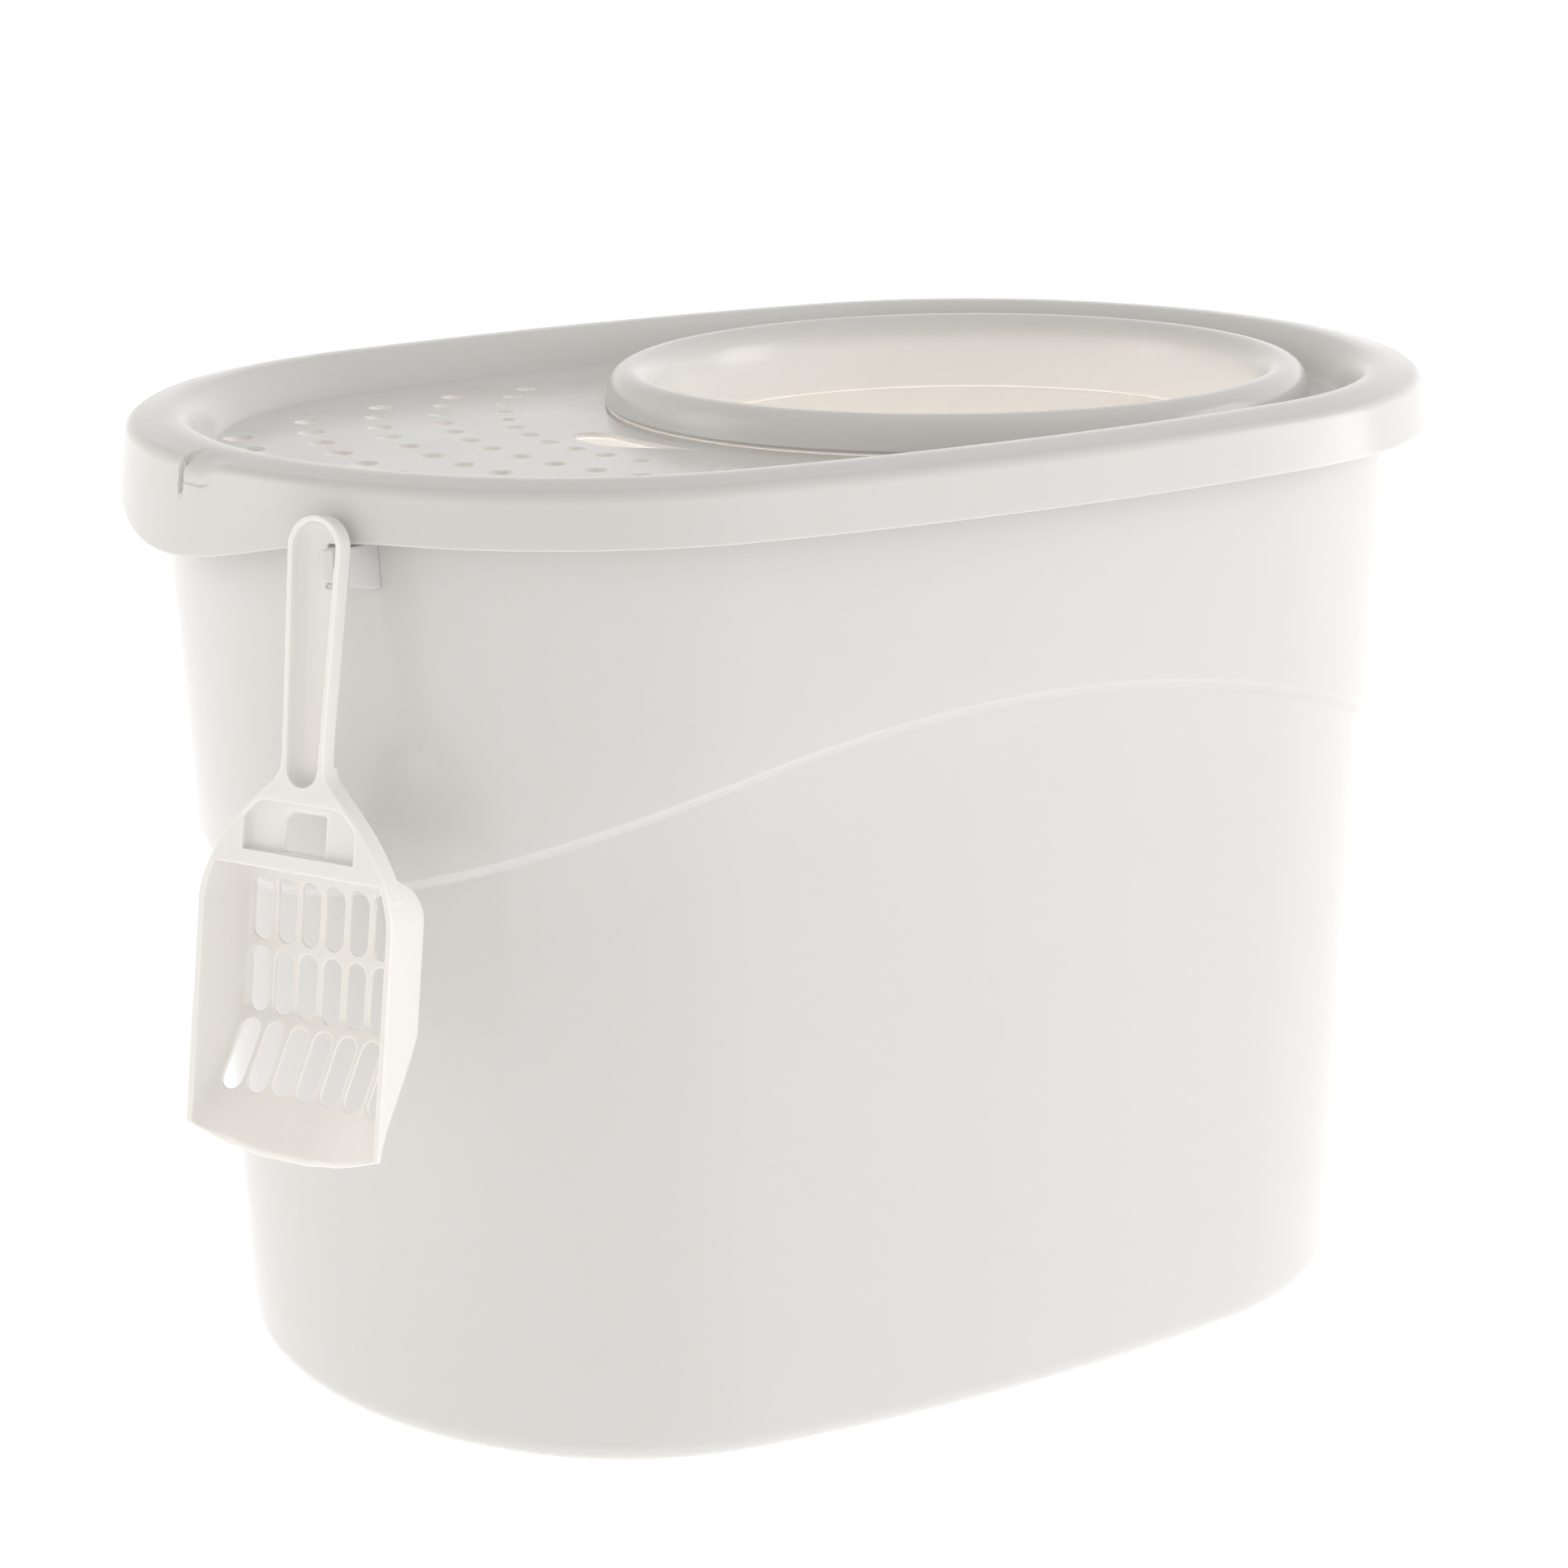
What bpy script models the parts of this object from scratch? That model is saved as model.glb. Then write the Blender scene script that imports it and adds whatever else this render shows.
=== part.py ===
"""Top-entry cat litter box: oval tub with a hanging hook, lift-off lid with a round entry, hanging scoop.

Frame: origin at the bottom centre of the tub, +Z up, +X towards the entry end of the lid.
All sizes are in metres.
"""
import math

import bmesh
import bpy
from mathutils import Matrix, Vector

# Oval outline: three tangent arcs per quarter, split at these angles of the outline's normal
SPLIT_1 = math.radians(40.0)
SPLIT_2 = math.radians(82.0)
ARC_STEPS = (9, 7, 4)

# Tub
TUB_FOOT = (0.2400, 0.1723, 0.8141)  # half length, half width, side radius at the foot
TUB_BROW = (0.2565, 0.1835, 0.8557)  # the same at BROW_Z, without the proud upper band
BROW_Z = 0.3643
TUB_WALL = 0.0028
FOOT_ROUND = 0.0100
FOOT_STEPS = 4
BAND_PROUD = 0.0030
BAND_MID_Z = 0.2890
BAND_DROP = 1.10
BAND_CHAMFER = 0.0030
FLANGE_OUT = 0.0067
FLANGE_Z = 0.3787
FLANGE_LIP_Z = 0.3700

# Lid
LID_TOP = (0.2725, 0.2005, 0.8717)
LID_WALL = 0.0026
RIM_Z = 0.3876
RIM_SHOULDER_Z = 0.3858
RIM_OUTER_ROUND = 0.0055
RIM_OUTER_TURN = math.radians(82.0)
RIM_CREST = 0.0155
RIM_FOOT = 0.0310
RIM_FALL_POWER = 3.0
FALL_STEPS = 9
ROUND_STEPS = 4
SKIRT_Z = 0.3643
SKIRT_FLARE = 0.0020
SKIRT_DIP = 0.0170
SKIRT_DIP_ANGLE = math.radians(35.0)
SKIRT_END_DIP = 0.0030
FLOOR_Z = 0.3715
SLOT_Y = 0.0162
SLOT_WIDTH = 0.0030
SLOT_DEPTH = 0.0050
SLOT_FLOOR_Z = 0.3722

# Entry collar, crescent finger hole and vent holes
ENTRY_X = 0.0831
ENTRY_CROWN_R = 0.1373
ENTRY_CROWN_Z = 0.3842
ENTRY_INNER_R = 0.1275
ENTRY_OUTER_R = 0.1458
ENTRY_SKIRT_Z = 0.3550
COLLAR_STEPS = 72
COLLAR_LAP = 0.0020
VENT_X = 0.0628
VENT_ROWS = (  # radius of the row, holes, spacing along the row, hole radius
    (0.1727, 15, 0.0198, 0.0040),
    (0.1986, 13, 0.0224, 0.0045),
    (0.2248, 11, 0.0248, 0.0050),
    (0.2532, 9, 0.0266, 0.0055),
    (0.2829, 7, 0.0284, 0.0060),
)
VENT_SIDES = 12
CRESCENT_START = math.radians(176.4)
CRESCENT_SWEEP = math.radians(22.5)
CRESCENT_INNER_R = 0.1630
CRESCENT_DEPTH = 0.0180
CRESCENT_BLUNT = 0.20
CRESCENT_FADE = 0.35
CRESCENT_STEPS = 16

# Hook that carries the scoop, moulded with the tub wall
HOOK_AZIMUTH = math.radians(-150.4)
HOOK_ROOT = Vector((-0.2314, -0.0911, 0.0))
HOOK_WIDTH = 0.0165
HOOK_ROOT_Z = 0.3435
HOOK_END_Z = 0.3490
HOOK_HIGH_Z = 0.3616
HOOK_REACH = 0.0230
PEG_ACROSS = (0.0024, 0.0082)
PEG_LOW_Z = 0.3520
PEG_HIGH_Z = 0.3640
PEG_START = 0.0215
PEG_REACH = 0.0320

# Scoop, drawn in its own frame: x across, y into its depth, z up, zero just below the handle's apex
SCOOP_APEX = Vector((-0.2581, -0.1066, 0.3741))
SCOOP_LEAN = math.radians(9.1)
SCOOP_ROLL = math.radians(0.7)
SCOOP_WALL = 0.0020
HANDLE_TOP_Z = 0.0018
HANDLE_HALF_TOP = 0.0114
HANDLE_ARC_Z = HANDLE_TOP_Z - HANDLE_HALF_TOP
HANDLE_HALF_LOW = 0.0088
HANDLE_END_Z = -0.0850
HANDLE_DEPTH = 0.0078
CHANNEL_END_Z = -0.0955
CHANNEL_ROUND = 0.0042
SHOULDER_HIGH_Z = -0.0918
SHOULDER_LOW_Z = -0.1430
SHOULDER_POWER = 1.85
SHOULDER_BLEND = 0.0035
SHOULDER_DEPTH = 0.0098
SHOULDER_TOP_Z = -0.0880
BASKET_HALF = 0.0431
BASKET_DEPTH = 0.0275
BASKET_DRAFT = 0.0030
BASKET_FILLET = 0.0040
FILLET_STEPS = 3
FLOOR_SHARES = (0.66, 0.33)
BASKET_TOP_Z = -0.1245
BASKET_CROWN = 0.0160
CROWN_STEPS = 4
RAMP_START_Z = -0.1830
LIP_Z = -0.2338
LIP_RISE = 0.0085
LIP_DEPTH = 0.0028
SIEVE_COLUMNS = 7
SIEVE_PITCH = 0.0108
SIEVE_WIDTH = 0.0084
SIEVE_LENGTH = 0.0243
SIEVE_GAP = 0.0027
SIEVE_TOP_Z = -0.1340
SIEVE_ROWS = 3
SIEVE_FRONT = 0.0010
RECESS_HIGH_Z = -0.1017
RECESS_LOW_Z = -0.1207
RECESS_BORDER = 0.0024
RECESS_HALF = 0.0245
RECESS_FLOOR = 0.0038
RECESS_FLOOR_WALL = 0.0028
RECESS_ROUND = 0.0012
BACK_HOLLOW_HIGH_Z = -0.0985
BACK_HOLLOW_LOW_Z = -0.1205
WINDOW_HALF = 0.0090
WINDOW_HIGH_Z = -0.1055
WINDOW_LOW_Z = -0.1204
WINDOW_CORNERS = (0.0055, 0.0010)
HANG_ACROSS = (0.0018, 0.0090)
HANG_HIGH_Z = -0.0082
HANG_LOW_Z = -0.0240

OVERRUN = 0.0050


def collection(name):
    found = bpy.data.collections.new(name)
    bpy.context.scene.collection.children.link(found)
    return found


def clear_scene():
    for item in list(bpy.data.objects):
        bpy.data.objects.remove(item, do_unlink=True)


def add_object(name, bm, home, smooth=False):
    """Turn a bmesh into a named object in the given collection."""
    if all(edge.is_manifold for edge in bm.edges):
        bmesh.ops.recalc_face_normals(bm, faces=bm.faces)
    mesh = bpy.data.meshes.new(name)
    bm.to_mesh(mesh)
    bm.free()
    if smooth:
        mesh.shade_smooth()
    thing = bpy.data.objects.new(name, mesh)
    home.objects.link(thing)
    return thing


def add_modifier(thing, kind, name, **settings):
    modifier = thing.modifiers.new(name, kind)
    for key, value in settings.items():
        setattr(modifier, key, value)
    return modifier


def add_boolean(thing, tool, operation):
    return add_modifier(
        thing, "BOOLEAN", operation.lower() + " " + tool.name,
        operation=operation, solver="EXACT", object=tool,
    )


def mark_cutter(tool):
    tool.hide_render = True
    tool.display_type = "WIRE"


def plastic(name, colour, roughness):
    material = bpy.data.materials.new(name)
    material.use_nodes = True
    shader = material.node_tree.nodes["Principled BSDF"]
    shader.inputs["Base Color"].default_value = (*colour, 1.0)
    shader.inputs["Roughness"].default_value = roughness
    return material


def arc_radii(half_length, half_width, side_radius):
    """Radii of the end arc and the corner arc that make the oval close with tangent joints."""
    a1 = 1.0 - math.cos(SPLIT_1)
    a2 = math.cos(SPLIT_1) - math.cos(SPLIT_2)
    b1 = math.sin(SPLIT_1)
    b2 = math.sin(SPLIT_2) - math.sin(SPLIT_1)
    length = half_length - side_radius * math.cos(SPLIT_2)
    width = half_width - side_radius * (1.0 - math.sin(SPLIT_2))
    end = (length * b2 - width * a2) / (a1 * b2 - b1 * a2)
    corner = (a1 * width - b1 * length) / (a1 * b2 - b1 * a2)
    return end, corner


def oval(outline, offset=0.0):
    """Points of the oval as (x, y, normal angle), anticlockwise from +X."""
    half_length, half_width, side = outline
    end, corner = arc_radii(half_length, half_width, side)
    c1 = (half_length - end, 0.0)
    shift = end - corner
    c2 = (c1[0] + shift * math.cos(SPLIT_1), shift * math.sin(SPLIT_1))
    shift = corner - side
    c3 = (c2[0] + shift * math.cos(SPLIT_2), c2[1] + shift * math.sin(SPLIT_2))
    spans = (
        (0.0, SPLIT_1, c1, end),
        (SPLIT_1, SPLIT_2, c2, corner),
        (SPLIT_2, math.pi / 2.0, c3, side),
    )
    quarter = []
    for (start, stop, centre, radius), steps in zip(spans, ARC_STEPS):
        for step in range(steps):
            angle = start + (stop - start) * step / steps
            reach = radius + offset
            x = centre[0] + reach * math.cos(angle)
            y = centre[1] + reach * math.sin(angle)
            quarter.append((x, y, angle))
    quarter.append((0.0, half_width + offset, math.pi / 2.0))
    second = [(-x, y, math.pi - angle) for x, y, angle in reversed(quarter[:-1])]
    upper = quarter + second
    lower = [(x, -y, 2.0 * math.pi - angle) for x, y, angle in reversed(upper[1:-1])]
    return upper + lower


def tub_outline(z):
    share = z / BROW_Z
    return tuple(low + (high - low) * share for low, high in zip(TUB_FOOT, TUB_BROW))


def band_z(x):
    """Height of the arched step in the tub wall."""
    return BAND_MID_Z - BAND_DROP * x * x


def skirt_z(angle):
    """Lower edge of the skirt: a deep dip at the -X end and a slight one at the +X end."""
    away = min(abs(angle - math.pi) / SKIRT_DIP_ANGLE, 1.0)
    end = min(min(angle, 2.0 * math.pi - angle) / SKIRT_DIP_ANGLE, 1.0)
    dip = SKIRT_DIP * 0.5 * (1.0 + math.cos(math.pi * away))
    return SKIRT_Z - dip - SKIRT_END_DIP * 0.5 * (1.0 + math.cos(math.pi * end))


def skin_rings(bm, rings, close_last=False, close_first=False):
    """Bridge a list of point rings into a skin, with flat end faces where asked."""
    loops = [[bm.verts.new(point) for point in ring] for ring in rings]
    for lower, upper in zip(loops, loops[1:]):
        for index in range(len(lower)):
            after = (index + 1) % len(lower)
            bm.faces.new((lower[index], lower[after], upper[after], upper[index]))
    if close_first:
        bm.faces.new(list(reversed(loops[0])))
    if close_last:
        bm.faces.new(loops[-1])
    return loops


def prism(bm, points, low, high):
    """Closed upright prism over a polygon of (x, y) points."""
    rings = [[(x, y, low) for x, y in points], [(x, y, high) for x, y in points]]
    skin_rings(bm, rings, close_last=True, close_first=True)


def box(bm, low, high, matrix=Matrix.Identity(4)):
    centre = (Vector(low) + Vector(high)) / 2.0
    size = Vector(high) - Vector(low)
    place = matrix @ Matrix.Translation(centre) @ Matrix.Diagonal((*size, 1.0))
    bmesh.ops.create_cube(bm, size=1.0, matrix=place)


def tub_ring(z, offset=0.0):
    return [(x, y, z) for x, y, _ in oval(tub_outline(z), offset)]


def band_ring(rise, offset):
    """A ring that follows the arched step, raised by rise and offset outwards."""
    ring = []
    for index, (x, _, _) in enumerate(oval(tub_outline(BAND_MID_Z))):
        z = band_z(x) + rise
        px, py, _ = oval(tub_outline(z), offset)[index]
        ring.append((px, py, z))
    return ring


def build_tub(home, tools):
    bm = bmesh.new()
    rings = []
    for step in range(FOOT_STEPS + 1):
        angle = math.pi / 2.0 * step / FOOT_STEPS
        z = FOOT_ROUND * (1.0 - math.cos(angle))
        rings.append(tub_ring(z, -FOOT_ROUND * (1.0 - math.sin(angle))))
    rings.append(band_ring(-BAND_CHAMFER / 2.0, 0.0))
    rings.append(band_ring(BAND_CHAMFER / 2.0, BAND_PROUD))
    rings.append(tub_ring(FLANGE_Z - 0.0020, BAND_PROUD))
    rings.append(tub_ring(FLANGE_Z, BAND_PROUD + 0.0012))
    rings.append(tub_ring(FLANGE_Z, FLANGE_OUT))
    rings.append(tub_ring(FLANGE_LIP_Z, FLANGE_OUT))
    skin_rings(bm, rings, close_first=True)
    tub = add_object("litter_tub", bm, home, smooth=True)
    add_modifier(
        tub, "SOLIDIFY", "wall", thickness=TUB_WALL, offset=-1.0, use_even_offset=True,
    )
    add_boolean(tub, build_hook(tools), "UNION")
    return tub


def build_hook(tools):
    """Arm below the lid's skirt, deeper at the wall, with the peg that carries the scoop."""
    place = Matrix.Translation(HOOK_ROOT) @ Matrix.Rotation(HOOK_AZIMUTH, 4, "Z")
    side = (
        (0.0, HOOK_ROOT_Z),
        (HOOK_REACH, HOOK_END_Z),
        (HOOK_REACH, HOOK_HIGH_Z),
        (0.0, HOOK_HIGH_Z),
    )
    bm = bmesh.new()
    faces = []
    for across in (-HOOK_WIDTH / 2.0, HOOK_WIDTH / 2.0):
        faces.append([place @ Vector((reach, across, z)) for reach, z in side])
    skin_rings(bm, faces, close_last=True, close_first=True)
    arm = add_object("hook_arm", bm, tools)
    add_modifier(arm, "BEVEL", "arm edges", width=0.0012, segments=2, limit_method="ANGLE")
    bm = bmesh.new()
    low, high = PEG_ACROSS
    box(bm, (PEG_START, low, PEG_LOW_Z), (PEG_REACH, high, PEG_HIGH_Z), place)
    peg = add_object("hook_peg", bm, tools)
    add_modifier(peg, "BEVEL", "peg edges", width=0.0010, segments=1, limit_method="ANGLE")
    add_boolean(arm, peg, "UNION")
    mark_cutter(arm)
    mark_cutter(peg)
    return arm


def lid_ring(offset, z):
    return [(x, y, z) for x, y, _ in oval(LID_TOP, offset)]


def rim_profile():
    """Offset and height along the lid's skin, from the top of the skirt over the rim to the floor."""
    profile = []
    for step in range(ROUND_STEPS + 1):
        angle = RIM_OUTER_TURN * step / ROUND_STEPS
        inset = RIM_OUTER_ROUND * (1.0 - math.cos(angle))
        profile.append((-inset, RIM_SHOULDER_Z - RIM_OUTER_ROUND * (1.0 - math.sin(angle))))
    for step in range(FALL_STEPS + 1):
        share = (step / FALL_STEPS) ** 0.6
        inset = RIM_CREST + (RIM_FOOT - RIM_CREST) * share
        fall = smooth_share(share ** RIM_FALL_POWER)
        profile.append((-inset, RIM_Z - (RIM_Z - FLOOR_Z) * fall))
    return profile


def build_lid(home, tools):
    bm = bmesh.new()
    skirt = [(x, y, skirt_z(angle)) for x, y, angle in oval(LID_TOP, SKIRT_FLARE)]
    rings = [skirt] + [lid_ring(offset, z) for offset, z in rim_profile()]
    skin_rings(bm, rings, close_last=True)
    lid = add_object("entry_lid", bm, home, smooth=True)
    add_modifier(
        lid, "SOLIDIFY", "wall", thickness=LID_WALL, offset=-1.0, use_even_offset=True,
    )
    add_boolean(lid, build_lid_cutters(tools), "DIFFERENCE")
    add_boolean(lid, build_collar(tools), "UNION")
    return lid


def build_collar(tools):
    """Raised bead round the entry with a skirt that reaches below the lid's floor."""
    under = FLOOR_Z - LID_WALL
    profile = (
        (ENTRY_OUTER_R, FLOOR_Z - LID_WALL / 2.0),
        (ENTRY_OUTER_R - 0.0006, FLOOR_Z + 0.0015),
        (ENTRY_OUTER_R - 0.0019, FLOOR_Z + 0.0085),
        (ENTRY_CROWN_R + 0.0035, ENTRY_CROWN_Z - 0.0012),
        (ENTRY_CROWN_R, ENTRY_CROWN_Z),
        (ENTRY_CROWN_R - 0.0040, ENTRY_CROWN_Z - 0.0014),
        (ENTRY_INNER_R + 0.0025, ENTRY_CROWN_Z - 0.0060),
        (ENTRY_INNER_R, FLOOR_Z),
        (ENTRY_INNER_R - 0.0005, ENTRY_SKIRT_Z),
        (ENTRY_INNER_R + 0.0020, ENTRY_SKIRT_Z),
        (ENTRY_INNER_R + 0.0026, under),
        (ENTRY_INNER_R + 0.0052, FLOOR_Z + 0.0040),
        (ENTRY_CROWN_R - 0.0020, ENTRY_CROWN_Z - 0.0042),
        (ENTRY_CROWN_R + 0.0026, ENTRY_CROWN_Z - 0.0042),
        (ENTRY_OUTER_R - 0.0046, FLOOR_Z + 0.0040),
        (ENTRY_OUTER_R - 0.0034, under),
        (ENTRY_OUTER_R, under),
    )
    bm = bmesh.new()
    loop = [bm.verts.new((radius, 0.0, z)) for radius, z in profile]
    edges = [bm.edges.new((loop[i], loop[(i + 1) % len(loop)])) for i in range(len(loop))]
    bmesh.ops.spin(
        bm, geom=loop + edges, cent=(0.0, 0.0, 0.0), axis=(0.0, 0.0, 1.0),
        angle=2.0 * math.pi, steps=COLLAR_STEPS, use_merge=True,
    )
    bmesh.ops.remove_doubles(bm, verts=bm.verts, dist=0.00001)
    bmesh.ops.translate(bm, verts=bm.verts, vec=(ENTRY_X, 0.0, 0.0))
    collar = add_object("entry_collar", bm, tools, smooth=True)
    mark_cutter(collar)
    return collar


def crescent_points():
    """Finger hole beside the collar: blunt at its start, fading to a point."""
    outer = []
    inner = []
    for step in range(CRESCENT_STEPS + 1):
        share = step / CRESCENT_STEPS
        angle = CRESCENT_START + CRESCENT_SWEEP * share
        start = max(0.0, 1.0 - share / CRESCENT_BLUNT)
        swell = math.sqrt(1.0 - start ** 2)
        tail = max(0.0, share - CRESCENT_FADE) / (1.0 - CRESCENT_FADE)
        fade = 0.5 + 0.5 * math.cos(math.pi * tail)
        near = CRESCENT_INNER_R + CRESCENT_DEPTH / 2.0 * (1.0 - swell)
        inner.append((angle, near))
        if 0 < step < CRESCENT_STEPS:
            outer.append((angle, near + CRESCENT_DEPTH * swell * fade))
    points = outer + list(reversed(inner))
    return [(ENTRY_X + r * math.cos(a), r * math.sin(a)) for a, r in points]


def build_lid_cutters(tools):
    bm = bmesh.new()
    below = FLOOR_Z - LID_WALL - OVERRUN
    above = FLOOR_Z + OVERRUN
    mouth = []
    for step in range(COLLAR_STEPS):
        angle = 2.0 * math.pi * step / COLLAR_STEPS
        radius = ENTRY_OUTER_R - COLLAR_LAP
        mouth.append((ENTRY_X + radius * math.cos(angle), radius * math.sin(angle)))
    prism(bm, mouth, below, above)
    for radius, count, spacing, hole in VENT_ROWS:
        for index in range(count):
            angle = math.pi + spacing / radius * (index - (count - 1) / 2.0)
            x = VENT_X + radius * math.cos(angle)
            y = radius * math.sin(angle)
            sides = []
            for side in range(VENT_SIDES):
                turn = 2.0 * math.pi * side / VENT_SIDES
                sides.append((x + hole * math.cos(turn), y + hole * math.sin(turn)))
            prism(bm, sides, below, above)
    prism(bm, crescent_points(), below, above)
    for sign in (-1.0, 1.0):
        low = Vector((LID_TOP[0] - SLOT_DEPTH, SLOT_Y - SLOT_WIDTH / 2.0, SLOT_FLOOR_Z))
        high = Vector((LID_TOP[0] + OVERRUN, SLOT_Y + SLOT_WIDTH / 2.0, RIM_Z + OVERRUN))
        turn = Matrix.Rotation(0.0 if sign > 0.0 else math.pi, 4, "Z")
        box(bm, low, high, turn)
    tool = add_object("lid_cutters", bm, tools)
    mark_cutter(tool)
    return tool


def smooth_share(value):
    value = min(max(value, 0.0), 1.0)
    return value * value * (3.0 - 2.0 * value)


def scoop_half_width(z):
    """Half width of the scoop's open face: the tapering handle blends into the curved shoulder."""
    share = min((z - HANDLE_ARC_Z) / (HANDLE_END_Z - HANDLE_ARC_Z), 1.0)
    handle = HANDLE_HALF_TOP + (HANDLE_HALF_LOW - HANDLE_HALF_TOP) * share
    share = (SHOULDER_HIGH_Z - z) / (SHOULDER_HIGH_Z - SHOULDER_LOW_Z)
    rise = SHOULDER_POWER * share
    if share > 0.0:
        rise = 1.0 - (1.0 - min(share, 1.0)) ** SHOULDER_POWER
    shoulder = HANDLE_HALF_LOW + (BASKET_HALF - HANDLE_HALF_LOW) * rise
    gap = handle - shoulder
    return (handle + shoulder + math.sqrt(gap * gap + SHOULDER_BLEND ** 2)) / 2.0


def arc_points(centre_z, radius, start, steps):
    """Half circle of (x, z) points about (0, centre_z), clockwise from the start angle."""
    points = []
    for step in range(steps + 1):
        angle = start - math.pi * step / steps
        points.append((radius * math.cos(angle), centre_z + radius * math.sin(angle)))
    return points


def edge_points(high, low, inset, steps):
    """Right-hand edge of the scoop between two heights, moved inwards by the inset."""
    points = []
    for step in range(steps + 1):
        z = high + (low - high) * step / steps
        points.append((scoop_half_width(z) - inset, z))
    return points


def mirrored(right):
    """Close a right-hand edge, listed downwards, with its mirror image."""
    return right + [(-x, z) for x, z in reversed(right)]


def scoop_prism(bm, points, front, back, draft=0.0):
    """Prism through the scoop's face between two depths, narrower at the back by the draft."""
    faces = []
    for depth, shrink in ((front, 0.0), (back, draft)):
        faces.append([(x - math.copysign(shrink, x), depth, z) for x, z in points])
    skin_rings(bm, faces, close_last=True, close_first=True)


def basket_depth(z):
    """Outer depth of the basket: a rounded top, a flat floor, then a ramp to the lip."""
    if z > BASKET_TOP_Z - BASKET_CROWN:
        share = 1.0 - (BASKET_TOP_Z - z) / BASKET_CROWN
        return HANDLE_DEPTH + (BASKET_DEPTH - HANDLE_DEPTH) * math.sqrt(1.0 - share ** 2)
    share = max(0.0, (RAMP_START_Z - z) / (RAMP_START_Z - LIP_Z))
    return BASKET_DEPTH + (LIP_DEPTH - BASKET_DEPTH) * share


def basket_section(z, inset, front, depth):
    """One U-shaped section of the basket, from the left edge round the floor to the right edge."""
    half = scoop_half_width(z) - inset
    draft = BASKET_DRAFT * depth / BASKET_DEPTH
    fillet = min(BASKET_FILLET, depth * 0.6)
    right = [(half, front)]
    for step in range(FILLET_STEPS + 1):
        angle = math.pi / 2.0 * step / FILLET_STEPS
        x = half - draft - fillet * (1.0 - math.cos(angle))
        right.append((x, depth - fillet * (1.0 - math.sin(angle))))
    flat = half - draft - fillet
    right += [(flat * share, depth) for share in FLOOR_SHARES]
    rise = LIP_RISE * smooth_share((RAMP_START_Z - z) / (RAMP_START_Z - LIP_Z))
    section = [(x, y, z + rise * (x / BASKET_HALF) ** 2) for x, y in right]
    return section + [(-x, y, height) for x, y, height in reversed(section)]


def basket_heights(first, last):
    """Heights of the basket's sections: close together round the top, then floor and ramp."""
    heights = [first]
    for step in range(1, CROWN_STEPS + 1):
        angle = math.pi / 2.0 * step / CROWN_STEPS
        heights.append(BASKET_TOP_Z - BASKET_CROWN * (1.0 - math.cos(angle)))
    heights = [z for z in heights if z <= first]
    middle = (RAMP_START_Z + LIP_Z) / 2.0
    return heights + [RAMP_START_Z, middle, last]


def build_scoop(home, tools):
    bm = bmesh.new()
    low = BASKET_TOP_Z - BASKET_CROWN / 2.0
    top = arc_points(HANDLE_ARC_Z, HANDLE_HALF_TOP, math.pi, 12)
    right = edge_points(HANDLE_ARC_Z, low, 0.0, 20)[1:]
    left = [(-x, z) for x, z in reversed(right)]
    scoop_prism(bm, top + right + left, 0.0, HANDLE_DEPTH, draft=0.0006)
    scoop = add_object("litter_scoop", bm, home)

    bm = bmesh.new()
    points = mirrored(edge_points(SHOULDER_TOP_Z, low, 0.0, 12))
    scoop_prism(bm, points, 0.0002, SHOULDER_DEPTH, draft=0.0006)
    shoulder = add_object("scoop_shoulder", bm, tools)
    add_boolean(scoop, shoulder, "UNION")
    bm = bmesh.new()
    sections = []
    for z in basket_heights(BASKET_TOP_Z - 0.0005, LIP_Z):
        sections.append(basket_section(z, 0.0, 0.0, basket_depth(z)))
    skin_rings(bm, sections, close_last=True, close_first=True)
    basket = add_object("scoop_basket", bm, tools)
    add_boolean(scoop, basket, "UNION")
    cutters = [build_channel(tools), build_recess(tools), build_back_hollow(tools)]
    cutters += [build_window(tools), build_hang_hole(tools), build_inside(tools), build_sieve(tools)]
    for cutter in cutters:
        add_boolean(scoop, cutter, "DIFFERENCE")
    for tool in [shoulder, basket] + cutters:
        mark_cutter(tool)
    place = scoop_placement()
    for thing in [scoop, shoulder, basket] + cutters:
        thing.matrix_world = place
    return scoop


def rounded_cutter(name, outline_at, back, rounding, tools):
    """Cutter from in front of the scoop to a floor with a rounded edge."""
    sections = [[(x, -OVERRUN, z) for x, z in outline_at(0.0)]]
    for step in range(FILLET_STEPS + 1):
        angle = math.pi / 2.0 * step / FILLET_STEPS
        inset = rounding * (1.0 - math.cos(angle))
        depth = back - rounding * (1.0 - math.sin(angle))
        sections.append([(x, depth, z) for x, z in outline_at(inset)])
    bm = bmesh.new()
    skin_rings(bm, sections, close_last=True, close_first=True)
    return add_object(name, bm, tools)


def build_channel(tools):
    """U-shaped channel down the front of the handle, round at both ends."""

    def outline(inset):
        top = HANDLE_HALF_TOP - SCOOP_WALL
        low = HANDLE_HALF_LOW - SCOOP_WALL
        points = arc_points(HANDLE_ARC_Z, top - inset, math.pi, 12)
        return points + arc_points(CHANNEL_END_Z + low, low - inset, 0.0, 12)

    return rounded_cutter("handle_channel", outline, HANDLE_DEPTH - SCOOP_WALL, CHANNEL_ROUND, tools)


def build_recess(tools):
    """Shallow recess that follows the shoulders, then runs straight down."""

    def outline(inset):
        high = RECESS_HIGH_Z - inset
        low = RECESS_LOW_Z + inset
        right = []
        for x, z in edge_points(high, low, RECESS_BORDER + inset, 8):
            right.append((min(x, RECESS_HALF - inset), z))
        return mirrored(right)

    return rounded_cutter("shoulder_recess", outline, RECESS_FLOOR, RECESS_ROUND, tools)


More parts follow.
